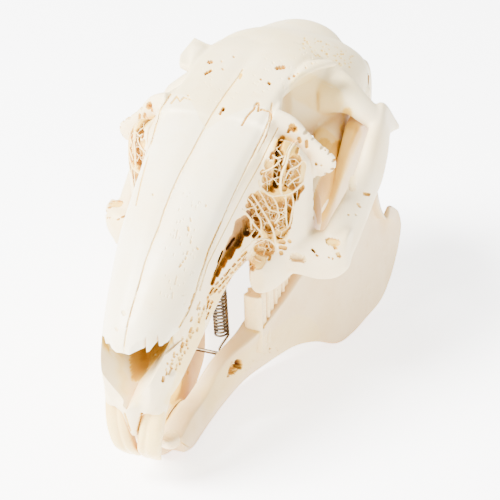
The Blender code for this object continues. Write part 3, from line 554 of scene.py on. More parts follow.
def cell(rows, grow, side):
    rings = []
    for number, (y, inner, outer, low, high) in enumerate(rows):
        y = y + grow * ((number == len(rows) - 1) - (number == 0))
        rings.append(np.array(((inner - grow, y, low - grow), (outer + grow, y, low - grow),
                               (outer + grow, y, high + grow), (inner - grow, y, high + grow))))
    walls = loft("cell", rings)
    if side < 0:
        other = mirrored(walls)
        dropped(walls)
        walls = other
    fused(walls, SEAM_VOXEL, 0)
    places = points_of(walls)
    put_points(walls, places + sway(places))
    return walls


def largest(thing):
    """Keeps the largest closed surface and drops chips."""
    made = bmesh.new()
    made.from_mesh(thing.data)
    left = set(made.verts)
    groups = []
    while left:
        group = set()
        edge = [left.pop()]
        while edge:
            vertex = edge.pop()
            group.add(vertex)
            for link in vertex.link_edges:
                other = link.other_vert(vertex)
                if other in left:
                    left.discard(other)
                    edge.append(other)
        groups.append(group)
    groups.sort(key=len)
    for group in groups[:-1]:
        bmesh.ops.delete(made, geom=list(group), context="VERTS")
    made.to_mesh(thing.data)
    made.free()


def parted(name, cells, side=0):
    """Cuts one bone out of what is left of the block."""
    walls = [cell(rows, SEAM_GROWTH, side) for rows in cells]
    for more in walls[1:]:
        boolean(walls[0], more, "UNION")
    piece = on_bench(name, block.data.copy())
    boolean(piece, walls[0], "INTERSECT")
    boolean(block, walls[0], "DIFFERENCE")
    dropped(*walls)
    largest(piece)
    return piece


pieces = {}
for side, word in ((1, "left"), (-1, "right")):
    pieces["zygomatic_" + word] = parted("zygomatic_" + word, [ARCH_CELL], side)
    pieces["cheek_teeth_" + word] = parted("cheek_teeth_" + word, [SOCKET_CELL], side)
    pieces["nasal_" + word] = parted("nasal_" + word, [NASAL_CELL], side)
    pieces["bulla_" + word] = parted("bulla_" + word, [BULLA_CELL], side)
for side, word in ((1, "left"), (-1, "right")):
    pieces["premaxilla_" + word] = parted("premaxilla_" + word, [PREMAXILLA_CELL], side)
pieces["frontal"] = parted("frontal", [FRONTAL_CELL, ROOF_CELL])
for side, word in ((1, "left"), (-1, "right")):
    pieces["maxilla_" + word] = parted("maxilla_" + word, [MAXILLA_CELL], side)
pieces["parietal"] = parted("parietal", [PARIETAL_CELL])
pieces["occipital"] = parted("occipital", [OCCIPITAL_CELL])
dropped(block)


# Nasal bones
# Two long thin shields of dense bone that roof the nose, white and rather smooth, jagged and turned down at
# the tip. They meet in a brown seam at the midline, and their hind ends run up into notches of the frontal.

# The marks on this bone and the next ones are hollows in the surface: pores, pits and the edges of seams.
# Some are colour alone, for stain and at some places for painted shade.
# Their places are read in the photograph's frame of 500 by 500, along the line of sight. Those of the left
# side recur on the right.

VIEW_AZIMUTH = math.radians(22.104)
VIEW_HEIGHT = math.radians(35.926)
VIEW_ROLL = math.radians(-3.056)
VIEW_AIM = np.array((0.0, 38.0, 30.0))
VIEW_SHIFT = (4.837, -1.259)
VIEW_DISTANCE = 245.057
VIEW_FOCAL = 1500.0
FRAME_MIDDLE = 250.0
EDGE_SOFT = 0.4
EDGE_RAG = 0.35
STAIN_SOFT = 0.6
BOWL = 0.4
BOWL_MOST = 1.8
BOWL_FROM = 0.9
STRUT = 0.5
CELL_SLOPE = 1.3
FOAM_REACH = 1.5
FINER_LEVELS = 2
FINER_RIM = 1.6
FINER_SMALL = 3.2
FINER_TURNED = -0.2
FLIPS = {"left": np.ones(3), "right": np.array((-1.0, 1.0, 1.0))}
SHORTEST = 0.0001
RAG_WAVES = ((1.9, 2.1, 0.9), (2.3, 1.7, 1.3))
RAG_FULL = 3
SKIN_CLEAR = 0.25
TOUCHED = 0.01
EASED = ((0.1, 2), (1, 6))
PORE_SIZES = (0.6, 1.4)
PORE_STAINS = (0.6, 1.3)

view_back = np.array((math.sin(VIEW_AZIMUTH) * math.cos(VIEW_HEIGHT),
                      -math.cos(VIEW_AZIMUTH) * math.cos(VIEW_HEIGHT), math.sin(VIEW_HEIGHT)))
level_right = np.array((math.cos(VIEW_AZIMUTH), math.sin(VIEW_AZIMUTH), 0.0))
level_up = np.cross(view_back, level_right)
view_right = math.cos(VIEW_ROLL) * level_right + math.sin(VIEW_ROLL) * level_up
view_up = -math.sin(VIEW_ROLL) * level_right + math.cos(VIEW_ROLL) * level_up
view_eye = VIEW_AIM + VIEW_SHIFT[0] * view_right + VIEW_SHIFT[1] * view_up + VIEW_DISTANCE * view_back


def normals_of(thing):
    flat = np.empty(len(thing.data.vertices) * 3)
    thing.data.vertices.foreach_get("normal", flat)
    return flat.reshape(-1, 3)


def seen(points):
    """Where points of the skull come in the photograph's frame."""
    away = points - view_eye
    depth = -(away @ view_back)
    return np.column_stack((FRAME_MIDDLE + VIEW_FOCAL * (away @ view_right) / depth,
                            FRAME_MIDDLE - VIEW_FOCAL * (away @ view_up) / depth))


def line(width, depth, stain, places):
    """Marks that follow a seam from place to place."""
    return [(*first, *second, width, depth, stain) for first, second in zip(places, places[1:])]


def apart_from(chart, mark):
    run = np.array((mark[2] - mark[0], mark[3] - mark[1]))
    away = chart - mark[:2]
    along = np.clip(away @ run / max(run @ run, SHORTEST), 0.0, 1.0)
    return np.linalg.norm(away - along[:, None] * run, axis=1)


def finer(thing, marks, cells, flip):
    """Halves the mesh round the rims of the marks, so that they come out crisp."""
    for level in range(FINER_LEVELS):
        chart = seen(points_of(thing) * flip)
        near = np.zeros(len(chart), dtype=bool)
        for mark in marks:
            if mark[5] > 0 or mark[4] < FINER_SMALL:
                apart = apart_from(chart, mark) - mark[4]
                near |= (apart < FINER_RIM) & ((apart > -2 * FINER_RIM) | (mark[4] < FINER_SMALL))
        for mark in cells:
            near |= apart_from(chart, mark) < mark[4] + FOAM_REACH
        near &= normals_of(thing) @ (view_back * flip) > FINER_TURNED
        if not near.any():
            return
        made = bmesh.new()
        made.from_mesh(thing.data)
        split = [edge for edge in made.edges if near[edge.verts[0].index] or near[edge.verts[1].index]]
        bmesh.ops.subdivide_edges(made, edges=split, cuts=1, use_grid_fill=True)
        made.to_mesh(thing.data)
        made.free()


def eased(value):
    value = np.clip(value, 0.0, 1.0)
    return value * value * (3 - 2 * value)


def carve(thing, marks, axis, word="left", facing=0.15, cells=()):
    """Presses the marks into the bone along an axis and notes how stained each place is, and how much shade
    is painted there. Cells grow until they meet in thin struts. A mark is (u, v, u, v, radius, depth in mm,
    stain and painted shade)."""
    flip = FLIPS[word]
    finer(thing, marks, cells, flip)
    points = points_of(thing)
    normals = normals_of(thing)
    axis = np.array(axis) / np.linalg.norm(axis) * flip
    chart = seen(points * flip)
    rag = sum(np.sin(chart[:, way] * pitch + sweep * np.sin(chart[:, 1 - way] * cross))
              for way, (pitch, sweep, cross) in enumerate(RAG_WAVES)) * EDGE_RAG
    toward = view_eye * flip - points
    toward /= np.linalg.norm(toward, axis=1)[:, None]
    looking = np.clip((np.einsum("ij,ij->i", normals, toward) - facing) / facing, 0.0, 1.0)
    depth = np.zeros(len(points))
    stain = np.zeros(len(points))
    for mark in marks:
        radius, deep, tint = mark[4:]
        soft = EDGE_SOFT + (BOWL * min(radius, BOWL_MOST / BOWL) if deep > BOWL_FROM or deep == 0 else 0.0)
        apart = apart_from(chart, mark) + rag * min(1.0, radius / RAG_FULL) / max(1.0, deep)
        depth = np.maximum(depth, eased((radius + EDGE_SOFT - apart) / (2 * soft)) * deep)
        soft = soft if deep == 0 else STAIN_SOFT
        stain = np.maximum(stain, eased((radius + EDGE_SOFT - apart) / (2 * soft)) * tint)
    if cells:
        apart = np.stack([apart_from(chart, mark) - mark[4] for mark in cells])
        order = np.argpartition(apart, 1, axis=0)[:2]
        first, second = np.take_along_axis(apart, order, axis=0)
        nearest = np.array(cells)[order[0]]
        inside = eased((second - first + rag - STRUT) / CELL_SLOPE) * eased((FOAM_REACH - first) / CELL_SLOPE)
        depth += inside * nearest[:, 5]
        stain = np.maximum(stain, inside * nearest[:, 6])
    depth *= looking
    stain *= looking
    touched = np.nonzero((depth > TOUCHED) | (stain > TOUCHED))[0]
    if len(touched):
        tree = BVHTree.FromObject(thing, bpy.context.evaluated_depsgraph_get())
        for number in touched:
            start = Vector(points[number] + SKIN_CLEAR * normals[number])
            if tree.ray_cast(start, Vector(toward[number]), FAR)[0] is not None:
                depth[number] = 0.0
                stain[number] = 0.0
    put_points(thing, points - depth[:, None] * axis)
    made = bmesh.new()
    made.from_mesh(thing.data)
    made.verts.ensure_lookup_table()
    for least, turns in EASED:
        pressed = [made.verts[number] for number in np.nonzero(depth > least)[0]]
        for turn in range(turns):
            bmesh.ops.smooth_vert(made, verts=pressed, factor=EASE_FACTOR,
                                  use_axis_x=True, use_axis_y=True, use_axis_z=True)
    made.to_mesh(thing.data)
    made.free()
    attribute = thing.data.attributes.get("stain")
    if attribute is None:
        attribute = thing.data.attributes.new("stain", "FLOAT", "POINT")
        held = np.zeros(len(points))
    else:
        held = np.empty(len(points))
        attribute.data.foreach_get("value", held)
    attribute.data.foreach_set("value", np.maximum(held, stain))
    return thing


def scattered(seed, count, start, end, spread, radius, depth, stain, run):
    """Small pores strewn along a band of the picture."""
    dice = np.random.default_rng(seed)
    start = np.array(start, dtype=float)
    way = np.array(end) - start
    across = np.array((-way[1], way[0])) / np.linalg.norm(way)
    marks = []
    for number in range(count):
        u, v = start + way * dice.uniform() + across * spread * dice.uniform(-1.0, 1.0)
        size = dice.uniform(*PORE_SIZES)
        tint = stain * dice.uniform(*PORE_STAINS)
        marks.append((u, v, u + run[0] * size, v + run[1] * size, radius * size, depth, tint))
    return marks


# Dry, degreased bone is warm ivory, a little glossy where it is dense and chalky where it is open. Tan and
# orange stain is left in its hollows, seams and pores, and shade is painted into the hollows as well, darker
# the more closed in they are.

REST_TURN = Matrix.Rotation(math.radians(9.75), 4, "X")
MM = 0.001
SHARP_ANGLE = 45.0
WIRE_MIDDLE = (0, 29, 14.1)
BOX_INSET = np.array((0.00002, 0.00002, 0.0))
OCCLUSION_SAMPLES = 8


class Channel:
    """A socket of a finish, on which sums are written as on a number."""

    def __init__(self, finish, socket):
        self.finish = finish
        self.socket = socket

    def sum(self, operation, first, second):
        return self.finish.node("ShaderNodeMath", {"operation": operation}, {0: first, 1: second})

    def __add__(self, other):
        return self.sum("ADD", self, other)

    def __radd__(self, other):
        return self.sum("ADD", other, self)

    def __sub__(self, other):
        return self.sum("SUBTRACT", self, other)

    def __rsub__(self, other):
        return self.sum("SUBTRACT", other, self)

    def __mul__(self, other):
        return self.sum("MULTIPLY", self, other)

    def __rmul__(self, other):
        return self.sum("MULTIPLY", other, self)


class Finish:
    """A material that is put together node by node."""

    def __init__(self, name):
        self.material = bpy.data.materials.new(name)
        self.material.use_nodes = True
        self.tree = self.material.node_tree
        self.shader = self.tree.nodes["Principled BSDF"]

    def node(self, kind, settings, sockets, out=0):
        made = self.tree.nodes.new(kind)
        for key, value in settings.items():
            if key == "stops":
                ramp = made.color_ramp.elements
                while len(ramp) < len(value):
                    ramp.new(1.0)
                for stop, (place, colour) in zip(ramp, value):
                    stop.position = place
                    stop.color = (*colour, 1.0)
            else:
                setattr(made, key, value)
        for key, value in sockets.items():
            self.feed(made.inputs[key], value)
        return Channel(self, made.outputs[out])

    def feed(self, socket, value):
        if isinstance(value, Channel):
            self.tree.links.new(value.socket, socket)
        else:
            socket.default_value = value

    def mix(self, share, first, second, blend="MIX"):
        return self.node("ShaderNodeMix", {"data_type": "RGBA", "blend_type": blend, "clamp_factor": True},
                         {0: share, 6: first, 7: second}, 2)

    def noise(self, place, scale, detail, roughness=0.5):
        return self.node("ShaderNodeTexNoise", {}, {"Vector": place, "Scale": scale, "Detail": detail,
                                                   "Roughness": roughness})

    def ramp(self, value, stops):
        return self.node("ShaderNodeValToRGB", {"stops": stops}, {0: value})

    def between(self, value, low, high):
        """0 below low and 1 above high."""
        return self.node("ShaderNodeMapRange", {"clamp": True},
                         {"Value": value, "From Min": low, "From Max": high})

    def shade_occlusion(self, reach):
        """Ambient occlusion, used to paint shade: 0 deep in a hollow and 1 on open bone."""
        return self.node("ShaderNodeAmbientOcclusion", {"samples": OCCLUSION_SAMPLES}, {"Distance": reach}, 1)

    def bumpy(self, height, strength, distance):
        self.feed(self.shader.inputs["Normal"], self.node(
            "ShaderNodeBump", {}, {"Strength": strength, "Distance": distance, "Height": height}))

    def glow_through(self, weight, radius):
        """Light that goes a little way in and comes out again."""
        for key, value in (("Weight", weight), ("Radius", radius), ("Scale", 1.0)):
            self.shader.inputs["Subsurface " + key].default_value = value


# Colours of the stain and painted shade marks, from tan stain to the dark brown of deep holes, which is
# painted shade as well as stain.
STAIN_AND_SHADE_STOPS = ((0, (0.84, 0.66, 0.20)), (0.2, (0.74, 0.47, 0.07)), (0.4, (0.56, 0.29, 0.025)),
               (0.6, (0.34, 0.155, 0.016)), (0.8, (0.14, 0.052, 0.008)), (1, (0.035, 0.014, 0.005)))
STAIN_FULL = 1.6
POCKET_REACH = 0.0045
FADE = (-0.012, 0.003)
BROAD_NOISE = (90.0, 4.0, 0.55)
CLOUDY_NOISE = (420.0, 5.0, 0.6)
GRAIN_NOISE = (2600.0, 3.0, 0.6)
PORE_SCALE = 1100.0
PORE_EDGE = (0.16, 0.05)
PORE_PATCHES = (0.5, 0.62)
PORE_SHARE = 0.45
WARM_PATCHES = (0.36, 0.66)
HOLLOW_PATCHES = (0.55, 0.8)
HOLLOW_SHARE = 0.35
POCKET_SHADE = (0.78, 0.12)
POCKET_SHARE = 0.85
STAIN_CLOUDS = 0.12
STAIN_CLOUDED = (0.1, 0.5)
STAIN_EDGE = (0.02, 0.4)
STAIN_CHALK = (0.1, 0.6)
CHALK_ROUGH = 0.15
CLOUDY_ROUGH = 0.25
CLOUDY_HEIGHT = 0.5
GRAIN_HEIGHT = 0.22
PORE_HEIGHT = 0.8
PIT_STRENGTH = 0.35
PIT_DEPTH = 0.00012
BONE_GLOW = (0.08, (0.0005, 0.0004, 0.0003))
BONE_SPECULAR = 0.4


def bone_finish(name, pale, warm, hollow, gloss, behind=None):
    made = Finish(name)
    place = made.node("ShaderNodeTexCoord", {}, {}, 3)
    broad = made.noise(place, *BROAD_NOISE)
    cloudy = made.noise(place, *CLOUDY_NOISE)
    grain = made.noise(place, *GRAIN_NOISE)
    pores = made.node("ShaderNodeTexVoronoi", {"feature": "F1"}, {"Vector": place, "Scale": PORE_SCALE})
    open_pore = made.between(pores, *PORE_EDGE) * made.between(cloudy, *PORE_PATCHES)
    shade = made.shade_occlusion(POCKET_REACH)
    sunk = made.between(shade, *POCKET_SHADE)
    stain = made.node("ShaderNodeAttribute", {"attribute_name": "stain"}, {}, 2)
    pale = (*pale, 1.0)
    warm = (*warm, 1.0)
    hollow = (*hollow, 1.0)
    if behind:
        back = made.node("ShaderNodeSeparateXYZ", {}, {0: place}, 1)
        pale = made.mix(made.between(back, *FADE), pale, (*behind, 1.0))
    colour = made.mix(made.between(broad, *WARM_PATCHES), pale, warm)
    colour = made.mix(made.between(cloudy, *HOLLOW_PATCHES) * HOLLOW_SHARE, colour, hollow)
    colour = made.mix(open_pore * PORE_SHARE, colour, hollow)
    # Painted shade: the colour is darkened towards the hollow tone deep in pockets and cracks, where the
    # occlusion closes in.
    colour = made.mix(sunk * POCKET_SHARE, colour, hollow, "MULTIPLY")
    clouded = (cloudy - 0.5) * STAIN_CLOUDS * made.between(stain, *STAIN_CLOUDED)
    deep = made.ramp(stain * (1.0 / STAIN_FULL) + clouded, STAIN_AND_SHADE_STOPS)
    colour = made.mix(made.between(stain, *STAIN_EDGE), colour, deep)
    made.feed(made.shader.inputs["Base Color"], colour)
    rough = gloss + (cloudy - 0.5) * CLOUDY_ROUGH + made.between(stain, *STAIN_CHALK) * CHALK_ROUGH
    made.feed(made.shader.inputs["Roughness"], rough)
    height = cloudy * CLOUDY_HEIGHT + grain * GRAIN_HEIGHT - open_pore * PORE_HEIGHT
    made.bumpy(height, PIT_STRENGTH, PIT_DEPTH)
    made.glow_through(*BONE_GLOW)
    made.shader.inputs["Specular IOR Level"].default_value = BONE_SPECULAR
    return made.material


wire_low, wire_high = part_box("jaw_wire")
wire_middle = (wire_low + wire_high) / 2
rest_place = Matrix.Translation(wire_middle) @ Matrix.Scale(MM, 4) @ REST_TURN @ Matrix.Translation(
    [-value for value in WIRE_MIDDLE])


def shown(thing, node, material, angle=SHARP_ANGLE, share=1.0):
    """Sets a finished piece in its place on the mounted skull in metres, with a share of its faces."""
    if thing.data.attributes.get("stain") is None:
        thing.data.attributes.new("stain", "FLOAT", "POINT")
    if share < 1.0:
        thin = thing.modifiers.new("thin", "DECIMATE")
        thin.ratio = share
        settle(thing)
    thing.data.transform(rest_place)
    put_points(thing, np.clip(points_of(thing), CAD_BOX[0] + BOX_INSET, CAD_BOX[1] - BOX_INSET))
    thing.data.materials.clear()
    thing.data.materials.append(material)
    thing.data.shade_smooth()
    thing.data.set_sharp_from_angle(angle=math.radians(angle))
    bench.objects.unlink(thing)
    bpy.context.scene.collection.objects.link(thing)
    thing.name = node + "_piece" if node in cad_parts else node
    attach(thing, "root")
    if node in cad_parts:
        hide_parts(node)
    return thing


nasal_finish = bone_finish("white_nasal_bone",
                           (0.85, 0.76, 0.56), (0.83, 0.70, 0.43), (0.76, 0.54, 0.24), 0.4,
                           (0.83, 0.70, 0.43))
ROOF_AXIS = (0, -0.35, 0.94)
NASAL_MIDLINE = line(0.6, 0.25, 0.34, (
    (243, 69), (238, 77), (226, 93), (212, 114), (201, 134), (192, 151), (181, 171), (172, 190), (165, 208),
    (159, 226), (152, 243), (145, 262), (139, 284), (133, 304), (128, 322), (125, 340), (123, 354)))
NASAL_EDGE = line(0.7, 0.3, 0.42, (
    (272, 103), (269, 120), (263, 134), (255, 150), (245, 170), (235, 190), (228, 205), (221, 221)))
NASAL_EDGE += line(1.1, 0.42, 0.66, (
    (221, 221), (214, 236), (208, 250), (203, 266), (198, 282), (194, 296), (188, 311), (178, 328)))
NASAL_EDGE_RIGHT = line(0.6, 0.25, 0.45, ((171, 94), (160, 110), (151, 145), (141, 182), (136, 205)))
NASAL_HIND = line(0.85, 0.4, 0.8, (
    (242, 125), (247, 116), (254, 109), (256.5, 103), (258.8, 102.4), (258.8, 106), (258, 111), (262, 109),
    (266, 110.5), (271, 111), (271.5, 118), (269, 130), (264, 142), (259, 152)))
NASAL_HIND_RIGHT = line(0.8, 0.25, 0.55, ((171, 103), (177, 96), (180, 101), (184, 97), (190, 99)))
NASAL_PITS = (
    (188.4, 227, 188.8, 230, 1.2, 0.3, 0.4), (197.2, 247.6, 197.8, 248.6, 1.1, 0.3, 0.4),
    (191, 240, 190.6, 243, 0.7, 0.25, 0.22), (188, 251, 187, 254, 0.7, 0.25, 0.25),
    (186, 257, 185.4, 259, 0.8, 0.25, 0.3), (183.6, 260.6, 182.6, 262, 0.8, 0.25, 0.3),
    (181, 264, 179.6, 266.4, 0.9, 0.3, 0.35), (190.6, 218, 191, 221, 0.7, 0.25, 0.25),
    (177, 276, 175, 284, 0.5, 0.2, 0.14), (173, 292, 172, 298, 0.5, 0.2, 0.12),
    (178, 230, 176, 238, 0.5, 0.2, 0.12), (153, 194, 153, 195, 0.8, 0.25, 0.3),
    (206, 205, 206, 206, 0.8, 0.25, 0.25), (123, 312, 124, 314, 1.6, 0.15, 0.2),
    (116, 328, 117, 330, 1.2, 0.15, 0.2))
SEAM_LINES = NASAL_MIDLINE + NASAL_EDGE + NASAL_EDGE_RIGHT + NASAL_HIND + NASAL_HIND_RIGHT
NASAL_SPECKS = (3, 46, (192, 190), (172, 300), 18, 0.45, 0.14, 0.14, (-0.6, 1.6))

for word in ("left", "right"):
    nasal = pieces["nasal_" + word]
    carve(nasal, SEAM_LINES + list(NASAL_PITS) + scattered(*NASAL_SPECKS), ROOF_AXIS)
    shown(nasal, "nasal_" + word, nasal_finish)


# Premaxillae
# The two creamy bones at the front of the snout that hold the incisors. Their side walls rise beside the
# nose, pitted with long pores, and where they meet they stand out in a narrow ridge between the incisors.

face_finish = bone_finish("cream_face_bone",
                          (0.84, 0.70, 0.44), (0.80, 0.63, 0.33), (0.74, 0.46, 0.14), 0.46)
SNOUT_AXIS = (0.85, -0.35, 0.4)
SNOUT_PORES = (
    (191.9, 328.1, 190, 331.9, 0.8, 0.5, 0.6), (190, 333.8, 189.4, 336.2, 0.6, 0.4, 0.5),
    (187.5, 339.4, 186.9, 341.2, 0.6, 0.4, 0.5), (183.1, 343.1, 181.9, 346.9, 0.9, 0.6, 0.75),
    (181.2, 348.8, 181, 350.6, 0.6, 0.5, 0.6), (186.9, 343.8, 186.6, 345, 0.6, 0.4, 0.5),
    (185, 351.2, 184.8, 352.8, 0.6, 0.4, 0.5), (188.1, 347.5, 188, 348.2, 0.5, 0.4, 0.5),
    (180, 362.5, 179.8, 364, 0.6, 0.4, 0.5), (171.2, 366.9, 171.9, 368.1, 0.8, 0.4, 0.45),
    (167.5, 363.1, 167.8, 363.8, 0.6, 0.3, 0.45), (163.8, 377.5, 163.1, 380.6, 0.9, 0.6, 0.7),
    (175, 356.2, 174.5, 357.5, 0.5, 0.3, 0.5), (177.5, 353.8, 177.2, 354.5, 0.5, 0.3, 0.5),
    (173.1, 360, 173, 360.6, 0.5, 0.3, 0.5), (182.5, 355, 182.4, 355.8, 0.5, 0.3, 0.4),
    (200, 318, 199, 322, 0.7, 0.4, 0.5), (205, 306, 204, 309, 0.7, 0.4, 0.5),
    (198, 328, 197, 331, 0.6, 0.4, 0.5), (210, 297, 208, 301, 0.8, 0.5, 0.5))
SNOUT_SPECKS = (12, 34, (205, 302), (166, 380), 5, 0.75, 0.3, 0.5, (-0.7, 2.2))
PORE_WIDER = 1.6
PORE_DARKER = 1.2
SNOUT_SEAM = line(0.6, 0.25, 0.34, ((278, 128), (262, 160), (245, 190), (222, 235), (207, 265), (200, 290)))
NOSE_AXIS = (0.1, -0.95, 0.25)
RIM_FACING = 0.02
LIP_FACING = 0.03
# The deep marks of the nose hole are orange stain with painted shade: their walls turn dark brown where the
# hole goes in.
NOSE_HOLE = (
    (136.5, 346, 137, 374, 6.5, 2.4, 0.6), (143, 344, 141, 372, 6.4, 3, 0.64),
    (150, 346, 145, 364, 5.4, 2.6, 0.62), (159, 342, 153, 355, 4.8, 1.8, 0.58),
    (170, 340, 163, 349, 3.6, 1.2, 0.55), (146, 342, 147, 350, 3.4, 4.4, 1),
    (138, 350, 138, 366, 3.4, 3.8, 0.78), (119, 350, 124, 392, 7, 0, 0.22),
    (104, 336, 107, 350, 4.6, 0, 0.62), (113, 350, 122, 356, 3, 0, 0.3),
    (134, 352, 136, 377, 5.4, 1.2, 0.62), (124.5, 414, 130, 431, 1, 0.3, 0.45),
    (141.6, 414, 138, 431, 1.4, 0.5, 0.9), (140, 394, 136, 404, 5, 0, 0.12))
# Tan with painted shade on the inner wall of the left rim of the nose hole, which lies in shade.
NOSE_RIM_TAN_AND_SHADE = ((171, 337, 139, 378, 4.2, 0, 0.62), (160, 344, 148, 362, 5.6, 0, 0.6))
# Tan with painted shade on the side of the snout that is turned from the light.
LIP_TAN_AND_SHADE = ((206, 318, 182, 366, 11, 0, 0.26), (182, 372, 168, 402, 6, 0, 0.2))

snout_pores = [(*mark[:4], mark[4] * PORE_WIDER, mark[5], mark[6] * PORE_DARKER) for mark in SNOUT_PORES]
snout_pores += scattered(*SNOUT_SPECKS)
for word in ("left", "right"):
    snout = pieces["premaxilla_" + word]
    carve(snout, snout_pores + NASAL_EDGE + SNOUT_SEAM, SNOUT_AXIS, word)
    carve(snout, NOSE_HOLE, NOSE_AXIS)
    carve(snout, NOSE_RIM_TAN_AND_SHADE, NOSE_AXIS, facing=RIM_FACING)
    carve(snout, LIP_TAN_AND_SHADE, SNOUT_AXIS, word, LIP_FACING)
    shown(snout, "premaxilla_" + word, face_finish)


# Upper incisors
# Two long chisel teeth, each with a groove down its front, and two small pegs behind them. Their yellow
# enamel is glossier than bone, with shade painted in towards the gum. Their roots sit in sheaths of the
# premaxillae.

UPPER_INCISOR = (
    (28, 3.6, 4.2, 1.4, 1.3),
    (24.4, 3.05, 2.6, 1.75, 1.35),
    (21, 2.6, 1.6, 1.85, 1.35),
    (17.4, 2, 1.6, 1.85, 1.15),
    (14.5, 1.64, 2.8, 1.56, 0.45))
PEG_TOOTH = (
    (25, 1.3, 5.6, 0.7, 0.7),
    (21, 1.2, 5, 0.75, 0.65),
    (18.6, 1.1, 4.7, 0.65, 0.5))
INCISOR_STEPS = 48
INCISOR_SIDES = 72
GROOVE_TURN = -1.75
GROOVE_WIDTH = 0.16
GROOVE_DEPTH = 0.2
INCISOR_SQUARE = 0.75
TOOTH_CLOUDS = (500.0, 4.0)
TOOTH_PATCHES = (0.4, 0.7)
TOOTH_PATCH_SHARE = 0.5
STREAK_SCALES = (1600.0, 1600.0, 160.0)
STREAK_NOISE = (1.0, 3.0)
STREAK_PATCHES = (0.55, 0.8)
STREAK_SHARE = 0.25
STREAK_STRENGTH = 0.25
STREAK_HEIGHT = 0.0001
GUM_REACH = 0.002
GUM_SHADE = (0.7, 0.15)
GUM_PAINTED_SHADE = (0.74, 0.5, 0.2, 1.0)
TOOTH_ROUGH = (0.2, 0.16)
TOOTH_GLOW = (0.15, (0.0012, 0.0008, 0.0005))


def incisor(name, stations, upright):
    """Curved chisel tooth. Columns: place along it, x, the other place, half width, half depth."""
    rings = []
    turn = np.linspace(0.0, 2 * math.pi, INCISOR_SIDES, endpoint=False)
    front = np.angle(np.exp(1j * (turn - GROOVE_TURN)))
    dent = 1.0 - GROOVE_DEPTH * np.exp(-(front / GROOVE_WIDTH) ** 2)
    for place, x, other, width, depth in smooth(stations, INCISOR_STEPS):
        across = x + width * np.sign(np.cos(turn)) * np.abs(np.cos(turn)) ** INCISOR_SQUARE * dent
        deep = other + depth * np.sign(np.sin(turn)) * np.abs(np.sin(turn)) ** INCISOR_SQUARE * dent
        level = np.full(len(turn), place)
        if upright:
            rings.append(np.column_stack((across, deep, level)))
        else:
            rings.append(np.column_stack((across, level, deep)))
    return loft(name, rings)


def tooth_finish(name, crown, neck):
    made = Finish(name)
    place = made.node("ShaderNodeTexCoord", {}, {}, 3)
    cloudy = made.noise(place, *TOOTH_CLOUDS)
    stretched = made.node("ShaderNodeMapping", {}, {"Vector": place, "Scale": STREAK_SCALES})
    streaks = made.noise(stretched, *STREAK_NOISE)
    shade = made.shade_occlusion(GUM_REACH)
    crown = (*crown, 1.0)
    neck = (*neck, 1.0)
    colour = made.mix(made.between(cloudy, *TOOTH_PATCHES) * TOOTH_PATCH_SHARE, crown, neck)
    colour = made.mix(made.between(streaks, *STREAK_PATCHES) * STREAK_SHARE, colour, neck)
    # Painted shade: the enamel is darkened where it goes into the bone and between the teeth.
    colour = made.mix(made.between(shade, *GUM_SHADE), colour, GUM_PAINTED_SHADE, "MULTIPLY")
    made.feed(made.shader.inputs["Base Color"], colour)
    made.feed(made.shader.inputs["Roughness"], TOOTH_ROUGH[0] + cloudy * TOOTH_ROUGH[1])
    made.bumpy(streaks, STREAK_STRENGTH, STREAK_HEIGHT)
    made.glow_through(*TOOTH_GLOW)
    return made.material


incisor_finish = tooth_finish("yellow_enamel", (0.80, 0.58, 0.2), (0.74, 0.44, 0.09))
front_teeth = [incisor("upper_incisor", UPPER_INCISOR, True), incisor("peg_tooth", PEG_TOOTH, True)]
for tooth in front_teeth:
    twin = mirrored(tooth)
    shown(twin, tooth.name + "_right", incisor_finish)
    shown(tooth, tooth.name + "_left", incisor_finish)


# Maxillae
# The side walls of the snout, with the roots of the cheek arches. In a rabbit the wall is a lattice of thin
# struts over yellow cells, all one bone. Here it is broken open along the nose into a long dark spindle.

WALL_AXIS = (0.82, -0.3, 0.49)
SIGHT_AXIS = (0.38, -0.7, 0.6)
SLIT_FACING = 0.04
PIT_SHARE = 0.45
CAVITIES = (
    (281, 141, 277.5, 152, 3.6, 2, 0.85), (280, 154, 276.5, 184, 5, 2.8, 0.72),
    (268, 174, 271, 187, 5.6, 1.7, 0.38), (295.5, 160, 293, 184, 6.6, 1.7, 0.36),
    (290, 160, 287, 184, 3, 2, 0.62), (298, 190, 296, 198, 3.2, 1.6, 0.6),
    (254, 200, 258, 214, 7, 2.4, 0.85), (264, 200, 270, 226, 8, 2, 0.6), (279, 202, 280, 224, 7, 1.5, 0.5),
    (289.5, 200, 288, 222, 4.6, 1.7, 0.68), (256, 226, 255, 234, 5, 2, 0.6),
    (261, 248, 268, 249, 7.6, 1.3, 0.32), (268, 243, 267, 246, 4.6, 1.7, 0.55),
    (247, 264, 252, 267, 4, 1.2, 0.6), (286, 226, 280, 234, 5, 0.9, 0.4))
BROW_HOLE = (
    (292, 126.6, 294.5, 129.2, 3.8, 1.1, 0.5), (289.5, 129.5, 288.5, 131.5, 1.6, 0.8, 0.6),
    (295, 127, 296, 128, 1.8, 1.5, 0.7))
